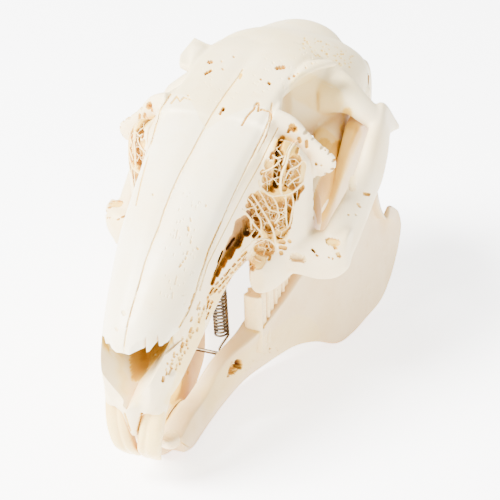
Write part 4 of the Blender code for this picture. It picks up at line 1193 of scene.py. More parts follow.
BARS = (
    (0.2, ((298, 140), (293, 146), (289.5, 152), (287.5, 160), (285, 167), (282.5, 173), (281.3, 180),
           (281, 190), (282.5, 194))),
    (0.13, ((294, 141), (289.5, 147), (287, 152), (285, 160), (283, 165))),
    (0.17, ((259, 180), (261, 186.5), (266, 192), (272, 195.5), (281, 195), (290, 193.5), (297, 189),
            (304, 182))),
    (0.17, ((242, 209), (250, 217.5), (255, 225), (260.5, 231))),
    (0.11, ((243, 210), (248.5, 208.5), (254, 207), (259, 203))),
    (0.12, ((246, 196), (254, 205), (257.5, 214), (261, 220), (261.5, 228), (259, 234), (255, 239))),
    (0.16, ((252, 194), (258.5, 203.5), (265, 214), (270, 222.5), (273.5, 230), (275.5, 240), (276.5, 256))),
    (0.12, ((259, 190), (264, 198), (270, 209), (277, 211.5), (279.5, 216), (275, 223))),
    (0.11, ((266, 193), (272.5, 196.5), (277.5, 205), (279, 212), (284, 211), (287, 206))),
    (0.13, ((286, 195), (286.5, 205), (286.5, 216), (287.5, 226))),
    (0.13, ((292.5, 194), (294, 203), (292.5, 212), (290.5, 223), (287.5, 228))),
    (0.12, ((275, 223), (280, 219), (286, 216))), (0.1, ((279, 212), (282.5, 213), (286.5, 216))),
    (0.17, ((241, 252), (249, 245), (255, 240), (262.5, 238.5), (270, 240), (275.5, 245))),
    (0.12, ((250, 253), (254, 246), (259, 242.5), (265, 240))),
    (0.12, ((255, 230), (251.5, 235), (252.5, 241))),
    (0.13, ((244, 259), (250, 252), (256, 259), (262, 262))), (0.1, ((246, 272), (249.5, 266), (250, 258))),
    (0.12, ((304, 160), (298, 166), (290, 170), (286, 178))), (0.1, ((301, 176), (294, 180), (288, 186))),
    (0.1, ((262, 172), (268, 170), (275, 166), (281, 160))), (0.11, ((273, 155), (278, 158), (284, 156))))
SLIT_ROWS = (
    ((212, 289), (249, 248), 9), ((214, 292), (247, 256), 8), ((219, 292), (243, 265), 6),
    ((206, 300), (212, 290), 3), ((203, 318), (209, 300), 4), ((206, 318), (213, 299), 4),
    ((200, 334), (205, 320), 3))
SLIT_RUN = (1.7, 3.8)
SLIT_RADIUS = (0.75, 1.3)
WEB_POINTS = 105
WEB_GAP = 3.6
WEB_LONG = 12.0
WEB_RADIUS = (0.045, 0.085)
WEB_LAYERS = ((31, 0.25), (32, 0.9))
WEB_SPILL = 1.2
WEB_GAPS = (0.4, 1.3)
WEB_STRETCH = (1.4, 0.8)
WEB_TWINS = 0.02
WEB_BOW = 0.35
WEB_BENDS = ((0.7, 0.3), (0.3, 0.7))
WEB_STEPS = 7
WEB_FLARE = 1.5
WEB_WAIST = 0.9
BAR_SEED = 21
BAR_STEPS = 6
BAR_SUNK = 0.12
BAR_SWELL = (0.85, 1.2)
SLIT_DEPTH = 0.7
SLIT_STAINS = (0.6, 1.1)
SLIT_UNEVEN = 0.2
SLIT_STRAY = 0.3
MAXILLA_SHARE = 0.5
LATTICE_SHARP = 80.0


def round_wires(name, runs, fine=3):
    """Round rods through the places of each run, with a radius at each place."""
    curve = bpy.data.curves.new(name, "CURVE")
    curve.dimensions = "3D"
    curve.bevel_depth = 1.0
    curve.bevel_resolution = fine
    curve.use_fill_caps = True
    for places, radii in runs:
        spline = curve.splines.new("POLY")
        spline.points.add(len(places) - 1)
        for point, place, radius in zip(spline.points, places, radii):
            point.co = (*place, 1.0)
            point.radius = radius
    bent = on_bench(name, curve)
    mesh = bpy.data.meshes.new_from_object(bent.evaluated_get(bpy.context.evaluated_depsgraph_get()))
    dropped(bent)
    return on_bench(name, mesh)


def web_of(seed, patches):
    """Loose net of struts over the patches: two knots are tied when no third lies between them."""
    dice = np.random.default_rng(seed)
    shares = np.array([patch[4] * (patch[4] + math.dist(patch[:2], patch[2:4])) for patch in patches])
    knots = []
    while len(knots) < WEB_POINTS:
        patch = patches[dice.choice(len(patches), p=shares / shares.sum())]
        turn = dice.uniform(0.0, 2 * math.pi)
        reach = (patch[4] + WEB_SPILL) * math.sqrt(dice.uniform())
        along = dice.uniform()
        knot = np.array((patch[0] + (patch[2] - patch[0]) * along + reach * math.cos(turn),
                         patch[1] + (patch[3] - patch[1]) * along + reach * math.sin(turn)))
        gap = WEB_GAP * dice.uniform(*WEB_GAPS)
        lone = all(np.linalg.norm((knot - other) * WEB_STRETCH) > gap for other in knots)
        if lone or dice.uniform() < WEB_TWINS:
            knots.append(knot)
    knots = np.array(knots)
    apart = np.linalg.norm(knots[:, None] - knots[None], axis=2)
    ties = []
    for one in range(len(knots)):
        for two in range(one + 1, len(knots)):
            between = np.maximum(apart[one], apart[two]) < apart[one, two]
            if apart[one, two] < WEB_LONG and not between.any():
                ties.append((knots[one], knots[two]))
    return ties


def strung(tree, flip, line_places, sunk):
    """Lays places of the picture on the surface that the tree holds."""
    laid = []
    eye = view_eye * flip
    for u, v in line_places:
        ray = ((u - FRAME_MIDDLE) * view_right - (v - FRAME_MIDDLE) * view_up) / VIEW_FOCAL - view_back
        hit = tree.ray_cast(Vector(eye), Vector(ray * flip).normalized())[0]
        if hit is not None:
            laid.append(np.array(hit) - sunk * np.array(WALL_AXIS) * flip)
    return laid


def lattice_of(tree, flip):
    dice = np.random.default_rng(BAR_SEED)
    runs = []
    for radius, places in BARS:
        places = smooth(places, BAR_STEPS * len(places))
        laid = strung(tree, flip, places, BAR_SUNK)
        runs.append((laid, [radius * dice.uniform(*BAR_SWELL) for place in laid]))
    for seed, sunk in WEB_LAYERS:
        for first, second in web_of(seed, CAVITIES):
            bow = dice.normal(size=2) * WEB_BOW
            bends = [first * near + second * far + bow for near, far in WEB_BENDS]
            laid = strung(tree, flip, smooth([first, *bends, second], WEB_STEPS), sunk)
            radius = dice.uniform(*WEB_RADIUS)
            waist = [WEB_WAIST * math.sin(math.pi * step / (WEB_STEPS - 1)) for step in range(len(laid))]
            runs.append((laid, [radius * (WEB_FLARE - narrow) for narrow in waist]))
    return round_wires("lattice", [run for run in runs if len(run[0]) > 1])


LATTICE = (
    (282.4, 138.3, 279, 146.4, 1.9, 1.2, 0.7), (278.6, 147.9, 277.6, 153.6, 2, 1.8, 1.3),
    (273.3, 153.6, 270.4, 160.7, 1.6, 1.2, 0.9), (281.6, 156.4, 277.9, 177.1, 2.3, 2, 0.95),
    (277.6, 177.1, 275.9, 187.1, 1.7, 1.6, 0.9), (269.3, 162.9, 266.4, 180, 3.7, 1.2, 0.35),
    (266.1, 186.4, 267, 188.3, 2.9, 1.6, 0.75), (272.9, 187.4, 273.6, 190, 2, 1.6, 0.7),
    (262.1, 172.9, 264.4, 170, 1.4, 0.8, 0.6), (284.3, 165.7, 282.4, 169.3, 1.1, 1, 0.5),
    (282.4, 175, 281.3, 182.9, 1, 1, 0.5), (293.6, 158.3, 291.9, 162.9, 2.3, 1.4, 0.75),
    (290.4, 162.9, 288.6, 168.6, 1.7, 1.2, 0.8), (290.4, 173.6, 286.4, 180, 2.3, 1.4, 0.7),
    (286.4, 180.7, 284.3, 188.6, 1.9, 1.2, 0.65), (297.6, 148.6, 296.7, 152.1, 1.1, 1, 0.7),
    (300.7, 165.7, 297.9, 180, 4.9, 0.7, 0.3), (306.7, 141.4, 306.9, 146.6, 0.9, 0.8, 0.8),
    (288.6, 149.3, 293.6, 143.6, 0.6, 0.5, 0.7), (299, 138.6, 300, 141.4, 1.1, 0.7, 0.8),
    (301.4, 187.1, 295, 195, 2.4, 1.6, 0.8), (281, 204.3, 281.6, 211.4, 2.9, 1.4, 0.65),
    (282.4, 217.9, 281.6, 220.7, 1.7, 1.2, 0.75), (280.7, 222.1, 279.3, 225.7, 1.3, 1, 0.6),
    (292.4, 200.7, 289.3, 211.4, 1.9, 1.6, 0.75), (288.6, 212.9, 287.9, 222.9, 1.7, 1.6, 0.75),
    (271.4, 200, 275, 207.1, 2.6, 1.3, 0.6), (275, 207.1, 276.4, 211.4, 1.4, 1.2, 0.6),
    (273, 213.6, 272.7, 214.3, 1.7, 1.6, 1.1), (263.6, 201.1, 266.1, 207.9, 1.3, 1.1, 0.75),
    (257.9, 193.1, 258.7, 195, 1.7, 1, 0.6), (253.9, 201.7, 254.7, 203.6, 1.3, 1, 0.7),
    (248.1, 205.7, 249.9, 206.9, 1.9, 1.3, 0.85), (256.4, 204.3, 261.4, 212.9, 2, 1.4, 0.8),
    (261.4, 212.9, 264.7, 218.6, 1.9, 1.4, 0.85), (249, 211.7, 253.3, 217.4, 1.9, 2, 1.3),
    (255, 218.6, 257.9, 222.1, 2, 1.8, 1), (265.3, 225.4, 266.1, 226.9, 1.3, 1, 0.8),
    (269.3, 232.9, 269.9, 237.4, 1.4, 1, 0.65), (253.6, 231.4, 257.9, 237.1, 2.6, 1.4, 0.7),
    (244.3, 255.4, 236.7, 263.6, 1.1, 0.9, 0.65), (233.9, 266.4, 231.4, 269.3, 1.1, 0.8, 0.55),
    (226.7, 277.9, 222.4, 282.6, 1.6, 0.9, 0.6), (220, 284.3, 210.4, 293.6, 1.1, 0.8, 0.6),
    (236.4, 271.7, 234.3, 275, 1.3, 0.7, 0.5), (242.9, 276, 239.6, 278.3, 1.6, 0.9, 0.6),
    (248.1, 264.3, 245.3, 269.3, 1.9, 1, 0.65), (252.4, 267.1, 250.4, 270.7, 2, 1.1, 0.75),
    (230.7, 284.3, 228.6, 287.1, 1, 0.6, 0.4), (262.1, 240.7, 256.4, 248.6, 1.9, 1, 0.6),
    (268.1, 241.1, 270.7, 246.4, 2.6, 1.3, 0.75), (267.9, 249.3, 268.1, 252.1, 1.9, 1.3, 1),
    (269.3, 255.7, 268.6, 258.6, 1.3, 1, 0.7), (263.6, 252.9, 257.9, 262.9, 5.7, 0.6, 0.3),
    (278.6, 237.1, 278.7, 238, 1.1, 0.8, 0.8), (280.7, 241.7, 283.6, 242.3, 1.3, 0.9, 0.7),
    (289.3, 240.9, 289.9, 241.4, 0.9, 0.6, 0.6), (280.7, 247.1, 285, 247.9, 1.3, 0.9, 0.65),
    (281, 252.1, 281.3, 253.1, 1.1, 0.8, 0.6), (275, 221.4, 273.3, 228.6, 1.1, 0.7, 0.45))
# The spindle's walls are orange-brown stain with painted shade, dark brown even where they face the lamp.
SPINDLE = (
    (245, 220, 246, 232, 5.2, 3.4, 1.1), (241, 224, 236.5, 243, 6.4, 3.6, 1.08),
    (234.5, 240, 228, 254.5, 5.8, 3.6, 0.95), (227, 252, 222, 264.5, 4.4, 3.2, 0.84),
    (221, 263.5, 216.5, 274.5, 3.2, 2.6, 0.84), (215.5, 273.5, 212, 283.5, 2.2, 2, 0.7),
    (235.5, 237.5, 228.5, 247.5, 3, 5.2, 1.2), (223, 251, 218.5, 262, 1.3, 4.2, 1.1),
    (219, 263, 214.5, 274, 1, 3.2, 1))
STRIP_TINT = ((207, 312, 238, 268, 8, 0, 0.26),)
CELL_TINT = (
    (285, 148, 285, 186, 14, 0, 0.44), (268, 202, 275, 230, 16, 0, 0.44), (262, 246, 254, 262, 8, 0, 0.26))
CHEEK_PITS = (
    (266.4, 281.7, 266.7, 282.3, 1.3, 0.5, 0.45), (273.6, 289.3, 277.1, 290, 2.9, 0.6, 0.5),
    (294.3, 257.1, 301.4, 259.3, 5.1, 1, 0.1), (312.4, 249.7, 314.7, 252, 1.1, 1.5, 1.4),
    (316.1, 163.7, 316.4, 164.3, 1.2, 0.7, 0.75), (325.3, 150, 325.6, 150.4, 0.6, 0.3, 0.3),
    (321.4, 165, 321.9, 165.4, 0.7, 0.3, 0.3), (329.3, 241.4, 336.4, 242.9, 3.7, 0.6, 0.35),
    (334.7, 245.7, 335.7, 247.9, 1.7, 0.7, 0.5), (327.1, 238.9, 327.6, 239.1, 0.6, 0.4, 0.6),
    (316.4, 255, 317.9, 255.7, 0.9, 0.5, 0.5), (328.6, 257.1, 329.3, 257.7, 0.7, 0.4, 0.5),
    (332.4, 258, 333, 258.9, 0.7, 0.4, 0.5), (337.9, 253.6, 339.3, 255.7, 2, 0.5, 0.35))

lattice_finish = bone_finish("amber_lattice_bone",
                             (0.86, 0.69, 0.35), (0.82, 0.58, 0.21), (0.74, 0.42, 0.1), 0.46)
cheek_cells = [(*mark[:5], mark[5] * PIT_SHARE, mark[6]) for mark in LATTICE]
slits = list(STRIP_TINT)
for row, (start, end, count) in enumerate(SLIT_ROWS):
    dice = np.random.default_rng(row)
    way = np.array(end) - np.array(start)
    for place in (np.arange(count) + SLIT_UNEVEN * dice.normal(size=count)) / count:
        u, v = np.array(start) + way * place + dice.normal(size=2) * SLIT_STRAY
        run = way / np.linalg.norm(way) * dice.uniform(*SLIT_RUN)
        radius = dice.uniform(*SLIT_RADIUS)
        slits.append((u, v, *((u, v) + run), radius, SLIT_DEPTH, dice.uniform(*SLIT_STAINS)))
wall_marks = list(CAVITIES + BROW_HOLE + SPINDLE + CELL_TINT + CHEEK_PITS) + SNOUT_SEAM + NASAL_EDGE
for word, flip in FLIPS.items():
    wall = pieces["maxilla_" + word]
    tree = BVHTree.FromObject(wall, bpy.context.evaluated_depsgraph_get())
    lattice = lattice_of(tree, flip)
    carve(wall, wall_marks, SIGHT_AXIS, word, cells=cheek_cells)
    carve(wall, slits, SIGHT_AXIS, word, SLIT_FACING)
    shown(wall, "maxilla_" + word, face_finish, share=MAXILLA_SHARE)
    shown(lattice, "cheek_lattice_" + word, lattice_finish, LATTICE_SHARP)


# Cheek teeth of the upper jaw
# Six ridged pegs in a row in each side of the palate, of cream enamel folded round cement. Their roots sit in
# a strip of the maxilla, which is a piece of its own here.

CHEEK_TEETH_UP = 6
CHEEK_TEETH_UP_START = 37.0
CHEEK_TOOTH_LENGTH = 2.65
CHEEK_TOOTH_WIDTH = 4.3
TOOTH_LINE = 24.6
TOOTH_SIDES = 56
TOOTH_LEVELS = 10
TOOTH_SQUARE = 0.62
TOOTH_FOLD = 0.2
FOLD_SHARP = 16
TOOTH_RIPPLE = 0.05
RIPPLES = 6
RIPPLE_START = 0.6
CHEW_RINGS = ((0.2, 0.2), (0.5, 0.3), (0.76, 0.16), (0.9, -0.12))
UPPER_TOOTH_ROOT = 32.0
UPPER_LEAN = 1.2
UPPER_X = 9.0
UPPER_SWAY = 0.25
UPPER_END_SHARE = 0.66
UPPER_NARROWER = 0.04
UPPER_SNUG = 0.98
UPPER_STEP = 0.1
TOOTH_GAP = 0.15


def cheek_tooth(name, centre, length, width, low, high, lean, chew_low):
    """A folded peg of enamel whose chewing end is hollowed between its rims."""
    turn = np.linspace(0.0, 2 * math.pi, TOOTH_SIDES, endpoint=False)
    ripple = TOOTH_RIPPLE * np.cos(RIPPLES * turn + RIPPLE_START) * np.abs(np.cos(turn))
    fold = 1.0 - TOOTH_FOLD * np.cos(turn) ** FOLD_SHARP - ripple
    across = width / 2 * np.sign(np.cos(turn)) * np.abs(np.cos(turn)) ** TOOTH_SQUARE * fold
    along = length / 2 * np.sign(np.sin(turn)) * np.abs(np.sin(turn)) ** TOOTH_SQUARE
    rows = [(level, 1.0) for level in np.linspace(low, high, TOOTH_LEVELS)]
    if chew_low:
        rows = [(low + drop, share) for share, drop in CHEW_RINGS] + rows
    else:
        rows = rows + [(high - drop, share) for share, drop in reversed(CHEW_RINGS)]
    rings = []
    for height, share in rows:
        shift = lean * (height - low) / (high - low)
        level = np.full(len(turn), height)
        rings.append(np.column_stack((centre[0] + across * share + shift, centre[1] + along * share, level)))
    return loft(name, rings)


enamel_finish = tooth_finish("cream_enamel", (0.84, 0.64, 0.32), (0.80, 0.52, 0.17))
upper_row = []
for number in range(CHEEK_TEETH_UP):
    end = number in (0, CHEEK_TEETH_UP - 1)
    width = CHEEK_TOOTH_WIDTH * (UPPER_END_SHARE if end else 1.0 - UPPER_NARROWER * abs(number - 2))
    centre = (UPPER_X + UPPER_SWAY * math.sin(number), CHEEK_TEETH_UP_START + number * CHEEK_TOOTH_LENGTH)
    low = TOOTH_LINE + TOOTH_GAP + UPPER_STEP * (number % 2)
    upper_row.append(cheek_tooth("tooth", centre, CHEEK_TOOTH_LENGTH * UPPER_SNUG, width,
                                 low, UPPER_TOOTH_ROOT, UPPER_LEAN, True))
upper_left = joined("upper_cheek_teeth", upper_row)
upper_right = mirrored(upper_left)
for word, row in (("left", upper_left), ("right", upper_right)):
    shown(pieces["cheek_teeth_" + word], "cheek_teeth_" + word, face_finish)
    shown(row, "upper_cheek_teeth_" + word, enamel_finish)


# Cheek arches
# The zygomatic bones, thin bowed blades of creamy bone from the cheek to the ear, with a free tab at the hind
# end. They grow out of the maxilla in front and rest on a root of the braincase behind.

ARCH_PITS = (
    (365, 193.6, 368.6, 194.3, 1.7, 0.6, 0.5), (357.9, 203.6, 360, 206.4, 1.3, 0.4, 0.4),
    (348.6, 214.3, 349.3, 215, 0.9, 0.3, 0.4), (355.7, 214.3, 356.1, 214.7, 0.7, 0.3, 0.35),
    (353.6, 177.9, 352.9, 188.6, 3.1, 0.6, 0.15))

for word in ("left", "right"):
    arch = pieces["zygomatic_" + word]
    carve(arch, list(ARCH_PITS), WALL_AXIS, word)
    shown(arch, "zygomatic_" + word, face_finish)


# Frontal
# The roof between the eyes, smooth ivory bone with a thin blade over each eye and small orange holes. It is
# sutured to the nasals in front and to the braincase behind.

ROOF_PORES = (
    (269, 83, 269.6, 83.6, 1.6, 1.2, 1.2), (260.8, 79, 261.2, 79.4, 0.8, 0.6, 0.9),
    (277, 68, 284, 67.2, 1.8, 0.8, 0.8), (294, 75.6, 294.4, 76, 1.2, 0.6, 0.7),
    (289, 78, 289.2, 78.4, 1.2, 0.5, 0.6), (298, 73, 298.4, 73.2, 0.8, 0.3, 0.5),
    (312, 63, 312.2, 63.2, 0.8, 0.3, 0.4), (306, 67.6, 306.2, 68, 0.8, 0.3, 0.4),
    (205.6, 73.6, 211, 70.4, 1.4, 1, 1.1), (209, 62, 211.6, 62, 1.6, 0.9, 0.9),
    (222.6, 68.8, 223, 69.2, 0.8, 0.5, 0.7), (221.6, 61, 221.8, 61.2, 0.8, 0.3, 0.5),
    (233.6, 56.6, 234, 56.8, 0.8, 0.5, 0.6), (223.6, 108, 222.8, 110, 1.6, 1.2, 1.3),
    (221, 112, 220, 114, 1, 0.8, 0.6), (195, 119, 194.4, 123, 1.8, 0.7, 0.6),
    (183, 97, 183.6, 97.2, 1.6, 0.5, 0.55), (188, 95, 188.4, 95.2, 0.8, 0.3, 0.5),
    (362, 68.4, 362.4, 70, 1.2, 0.4, 0.55), (366, 78, 366.2, 78.4, 1, 0.3, 0.4),
    (331, 55, 331.4, 55.6, 0.6, 0.3, 0.5), (325, 52, 325.2, 52.2, 0.6, 0.3, 0.4),
    (241, 74, 240, 77, 1.8, 0.2, 0.5))
# Tan with painted shade inside the orbit, on its walls and floor.
ORBIT_TAN_AND_SHADE = (
    (305, 88, 328, 100, 18, 0, 0.2), (345, 128, 348, 144, 7, 0, 0.46), (322, 138, 338, 152, 12, 0, 0.26),
    (324, 144, 334, 156, 9, 0, 0.4), (318, 214, 328, 185, 12, 0, 0.64), (330, 175, 340, 150, 12, 0, 0.58),
    (347, 112, 350, 150, 7, 0, 0.4))
ROOF_SPECKS = (5, 60, (205, 85), (330, 60), 18, 0.4, 0.12, 0.22, (0.5, 0.4))
ORBIT_FACING = 0.04
FRONTAL_SHARE = 0.6

crown_finish = bone_finish("ivory_crown_bone",
                           (0.83, 0.70, 0.43), (0.80, 0.65, 0.34), (0.74, 0.47, 0.16), 0.46)
frontal = pieces["frontal"]
carve(frontal, list(ROOF_PORES) + SEAM_LINES + scattered(*ROOF_SPECKS), ROOF_AXIS)
carve(frontal, ORBIT_TAN_AND_SHADE, WALL_AXIS, facing=ORBIT_FACING)
shown(frontal, "frontal", crown_finish, share=FRONTAL_SHARE)


# Braincase, back of the head and ear capsules
# Thin rounded plates of bone round the brain, the occipital behind them with its two knuckles, and the two
# round capsules of the ears below. They are sutured to each other.

BRAIN_SPECKS = (6, 70, (300, 42), (352, 60), 9, 0.8, 0.05, 0.5, (0.6, 0.3))

parietal = pieces["parietal"]
carve(parietal, scattered(*BRAIN_SPECKS), ROOF_AXIS)
carve(parietal, ORBIT_TAN_AND_SHADE, WALL_AXIS, facing=ORBIT_FACING)
for name in ("parietal", "occipital", "bulla_left", "bulla_right"):
    shown(pieces[name], name, crown_finish)


# Lower jaw
# Two thin blades of tan bone that meet at the chin. Each holds a low incisor and five cheek teeth, and ends
# behind in a wide angle with a small hook. The knuckle at its top hangs under the braincase.

JAW_VOXEL = 0.22
JAW_EASE = 5
JAW_GAP = 0.15
JAW_SHARE = 0.4
JAW_AXIS = (1, -0.3, 0.2)
RIB_TIP = 0.001
RIB_EDGE = 0.35
RIB_BODY = 0.5
MANDIBLE_RIBS = (
    (9.6, 9.8, 9.2, 13.2, 2.2, 2.1, 3.2, 3.8, 2.8),
    (13.4, 7.4, 14, 13.8, 2.2, 2.2, 2.8, 4, 3),
    (18.5, 6.6, 20, 13.2, 2.2, 2.3, 2.6, 4, 2.8),
    (25, 6.4, 25.4, 16.1, 2.8, 3.8, 2.4, 4, 2.4),
    (32, 6.2, 31.4, 17.6, 3.9, 6.4, 2.4, 4.2, 3.6),
    (38, 5.4, 37.6, 18.8, 5.6, 7.6, 2.4, 4.6, 4.6),
    (44, 5.4, 44, 20, 8.8, 8.8, 2.4, 4.4, 4.4),
    (48.4, 3.8, 49.6, 22.6, 11.6, 10.8, 2.4, 3, 3.4),
    (52.4, 0.9, 54.4, 30, 14.2, 13.4, 2.6, 1.6, 2),
    (57, 0, 59, 38, 15.6, 14.6, 2.6, 1.4, 1.8),
    (62, 0, 63.6, 41, 16.8, 15, 2.4, 1.3, 2.8),
    (66.4, 0.6, 68, 40.4, 18, 15.6, 2.4, 1.3, 2.6),
    (70.4, 2, 67.6, 34, 18.5, 16.2, 2.2, 1.3, 1.8),
    (74, 4.6, 66.4, 27, 18.8, 17.2, 2, 1.3, 1.6),
    (76.8, 8.4, 66, 22.4, 19, 18, 1.8, 1.3, 1.6),
    (77.2, 11.6, 67.6, 18.8, 19.2, 18.7, 1.6, 1.3, 1.5),
    (75.4, 15.4, 69.4, 17.8, 19.2, 18.9, 1.4, 1.2, 1.2),
    (72.6, 18.4, 71.2, 19, 19, 18.9, 0.7, 0.7, 0.6))
RIB_COUNT = 90
RIB_STEPS = 14
JAW_HEAD_CENTRE = (15.5, 65.8, 40.5)
JAW_HEAD_RADII = (1.7, 3.6, 1.4)
SYMPHYSIS = (0, 13.4, 10.8)
SYMPHYSIS_RADII = (2.4, 6, 2.8)
LOWER_TEETH = 5
LOWER_TEETH_START = 33.7
LOWER_TOOTH_LENGTH = 3.0
LOWER_TOOTH_WIDTH = 3.4
LOWER_TOOTH_ROOT = 13.0
LOWER_LEAN = 0.2
LOWER_END_SHARE = 0.7
LOWER_NARROWER = 0.03
LOWER_X = 7.1
LOWER_SPREAD = 0.3
LOWER_PITCH = 0.97
LOWER_SNUG = 0.94
LOWER_STEP = 0.05
LOWER_INCISOR = (
    (14, 2.1, 11.4, 1.4, 1.3),
    (9.6, 2, 12.3, 1.5, 1.35),
    (6.8, 1.85, 13.8, 1.45, 1.1),
    (4.9, 1.75, 16, 1.35, 0.5))
# Pits, seams and stain of the near half. Two wide marks are painted shade with tan, where the ramus shows
# through the orbit and on the body of the jaw.
JAW_PITS_AND_SHADE = (
    (238, 362.5, 239.6, 366.5, 3.4, 1.8, 0.85), (239.8, 361.6, 240.8, 364.5, 2.2, 2.6, 1.25),
    (235.4, 367, 232, 371.5, 3.9, 1.3, 0.6), (229.5, 373, 228, 376, 1.2, 0.4, 0.3),
    (232, 362, 229, 372, 0.8, 0.3, 0.3), (266, 318, 264, 327, 1.4, 1, 0.7),
    (271, 305, 270, 311, 1.5, 1, 0.7), (274, 301, 275, 303, 1, 0.8, 0.6), (269, 314, 268, 319, 1, 0.8, 0.9),
    (163, 435.5, 170, 436.6, 0.7, 0.2, 0.4), (170, 436.6, 178, 440, 0.8, 0.2, 0.45),
    (178, 440, 190, 448, 0.6, 0.2, 0.4), (252, 330, 260, 333, 3, 0, 0.3),
    (262, 344, 262.6, 344.6, 0.8, 0.3, 0.3), (270, 348, 270.4, 348.4, 0.7, 0.3, 0.3),
    (183, 399, 163, 428, 0.8, 0.2, 0.5), (318, 212, 352, 132, 12, 0, 0.36),
    (220, 395, 300, 335, 22, 0, 0.12))
JAW_SPECKS = (8, 26, (245, 385), (275, 345), 10, 0.5, 0.15, 0.2, (0.5, 0.5))
FAR_JAW_FACING = 0.03
# Tan with painted shade over the far half of the jaw, which lies in shade, and two small pits.
FAR_JAW_TINT_AND_SHADE = (
    (198, 335, 184, 392, 20, 0, 0.5), (184, 398, 176, 404, 5, 0, 0.3),
    (193, 350, 193.4, 351, 0.8, 0.2, 0.6), (188, 372, 187, 374, 0.8, 0.2, 0.6))


def rib_rings(count):
    rings = []
    for low_y, low_z, high_y, high_z, low_x, high_x, thick_low, thick_mid, thick_high in smooth(
            MANDIBLE_RIBS, count):
        rise = (1 - np.cos(np.linspace(0.0, 1.0, RIB_STEPS) * math.pi)) / 2
        y = low_y + (high_y - low_y) * rise
        z = low_z + (high_z - low_z) * rise
        x = low_x + (high_x - low_x) * rise
        middle = np.sin(rise * math.pi)
        thick = thick_low * (1 - rise) + thick_high * rise
        thick = thick * (1 - middle) + thick_mid * middle
        edge = np.where((rise < RIB_TIP) | (rise > 1 - RIB_TIP), RIB_EDGE, RIB_BODY)
        outer = np.column_stack((x + thick * edge, y, z))
        inner = np.column_stack((x - thick * edge, y, z))
        rings.append(np.concatenate((outer, inner[::-1])))
    return rings


jaw = joined("mandible", [loft("blade", rib_rings(RIB_COUNT)), ball("head", JAW_HEAD_CENTRE, JAW_HEAD_RADII),
                          ball("symphysis", SYMPHYSIS, SYMPHYSIS_RADII)])
fused(jaw, JAW_VOXEL, JAW_EASE)
other_side = ((JAW_GAP, -FAR), (JAW_GAP, 2 * FAR), (-FAR, 2 * FAR), (-FAR, -FAR))
other_side = prism("other_side", other_side, -FAR, 2 * FAR)
boolean(jaw, other_side, "DIFFERENCE")
dropped(other_side)
largest(jaw)
lower_row = []
for number in range(LOWER_TEETH):
    last = number == LOWER_TEETH - 1
    width = LOWER_TOOTH_WIDTH * (LOWER_END_SHARE if last else 1.0 - LOWER_NARROWER * number)
    centre = (LOWER_X + LOWER_SPREAD * number, LOWER_TEETH_START + number * LOWER_TOOTH_LENGTH * LOWER_PITCH)
    height = TOOTH_LINE - TOOTH_GAP - LOWER_STEP * (number + 1)
    lower_row.append(cheek_tooth("tooth", centre, LOWER_TOOTH_LENGTH * LOWER_SNUG, width,
                                 LOWER_TOOTH_ROOT, height, LOWER_LEAN, False))
lower_left = joined("lower_cheek_teeth", lower_row)
lower_incisor = incisor("lower_incisor", LOWER_INCISOR, False)
jaw_twin = mirrored(jaw)
jaw_finish = bone_finish("tan_jaw_bone",
                         (0.74, 0.56, 0.30), (0.68, 0.47, 0.21), (0.62, 0.36, 0.11), 0.44)
for word, blade in (("left", jaw), ("right", jaw_twin)):
    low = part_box("mandible_" + word)[0]
    carve(blade, list(JAW_PITS_AND_SHADE) + scattered(*JAW_SPECKS), JAW_AXIS, word)
    if word == "right":
        carve(blade, FAR_JAW_TINT_AND_SHADE, JAW_AXIS, facing=FAR_JAW_FACING)
    places = points_of(blade)
    turned = places @ np.array(REST_TURN.to_3x3()).T
    ground = (low[2] - wire_middle[2]) / MM + (REST_TURN @ Vector(WIRE_MIDDLE))[2]
    sunk = np.minimum(turned[:, 2] - ground, 0.0)
    turned[:, 2] -= sunk
    put_points(blade, turned @ np.array(REST_TURN.to_3x3()))
    shown(blade, "mandible_" + word, jaw_finish, share=JAW_SHARE)
for thing in (lower_left, lower_incisor):
    twin = mirrored(thing)
    shown(twin, thing.name + "_right", enamel_finish)
    shown(thing, thing.name + "_left", enamel_finish)


# Spring and wire
# A small coil spring of tarnished spring wire pulls the jaw up to the palate. Its lower hook goes round a
# short wire pin that is pushed through both halves of the jaw.

PIN_RADIUS = 0.33
PIN_REACH = 2.75
SPRING_X = 1.75
SPRING_Y = 32.0
SPRING_LOW = 15.7
SPRING_HIGH = 24.9
SPRING_RADIUS = 1.12
SPRING_WIRE = 0.2
SPRING_TURNS = 13
POINTS_A_TURN = 20
HOOK_X = 2.1
HOOK_PLAY = 0.3
HOOK_RADIUS = PIN_RADIUS + SPRING_WIRE + HOOK_PLAY
HOOK_DEGREES = (150, 391, 15)
HOOK_LEAD = (0.3, 1.6, 1)
TOP_BENDS = ((0, 0.2, 0.9), (-0.2, 0.2, 3.2))
WIRE_SHARP = 60.0
TARNISH_NOISE = (900.0, 4.0)
TARNISH_PATCHES = (0.4, 0.65)
BRONZE_PALE = (0.2, 0.15, 0.09, 1.0)
BRONZE_DARK = (0.07, 0.05, 0.035, 1.0)
BRONZE_ROUGH = (0.22, 0.3)

spring_places = []
for degrees in range(*HOOK_DEGREES):
    angle = math.radians(degrees)
    spring_places.append((HOOK_X, WIRE_MIDDLE[1] + HOOK_RADIUS * math.cos(angle),
                          WIRE_MIDDLE[2] + HOOK_RADIUS * math.sin(angle)))
spring_places.append((HOOK_X + HOOK_LEAD[0], WIRE_MIDDLE[1] + HOOK_LEAD[1], WIRE_MIDDLE[2] + HOOK_LEAD[2]))
for step in range(SPRING_TURNS * POINTS_A_TURN + 1):
    angle = step * 2 * math.pi / POINTS_A_TURN
    rise = step / (SPRING_TURNS * POINTS_A_TURN)
    spring_places.append((SPRING_X + SPRING_RADIUS * math.cos(angle),
                          SPRING_Y + SPRING_RADIUS * math.sin(angle),
                          SPRING_LOW + (SPRING_HIGH - SPRING_LOW) * rise))
for x, y, z in TOP_BENDS:
    spring_places.append((SPRING_X + SPRING_RADIUS + x, SPRING_Y + y, SPRING_HIGH + z))

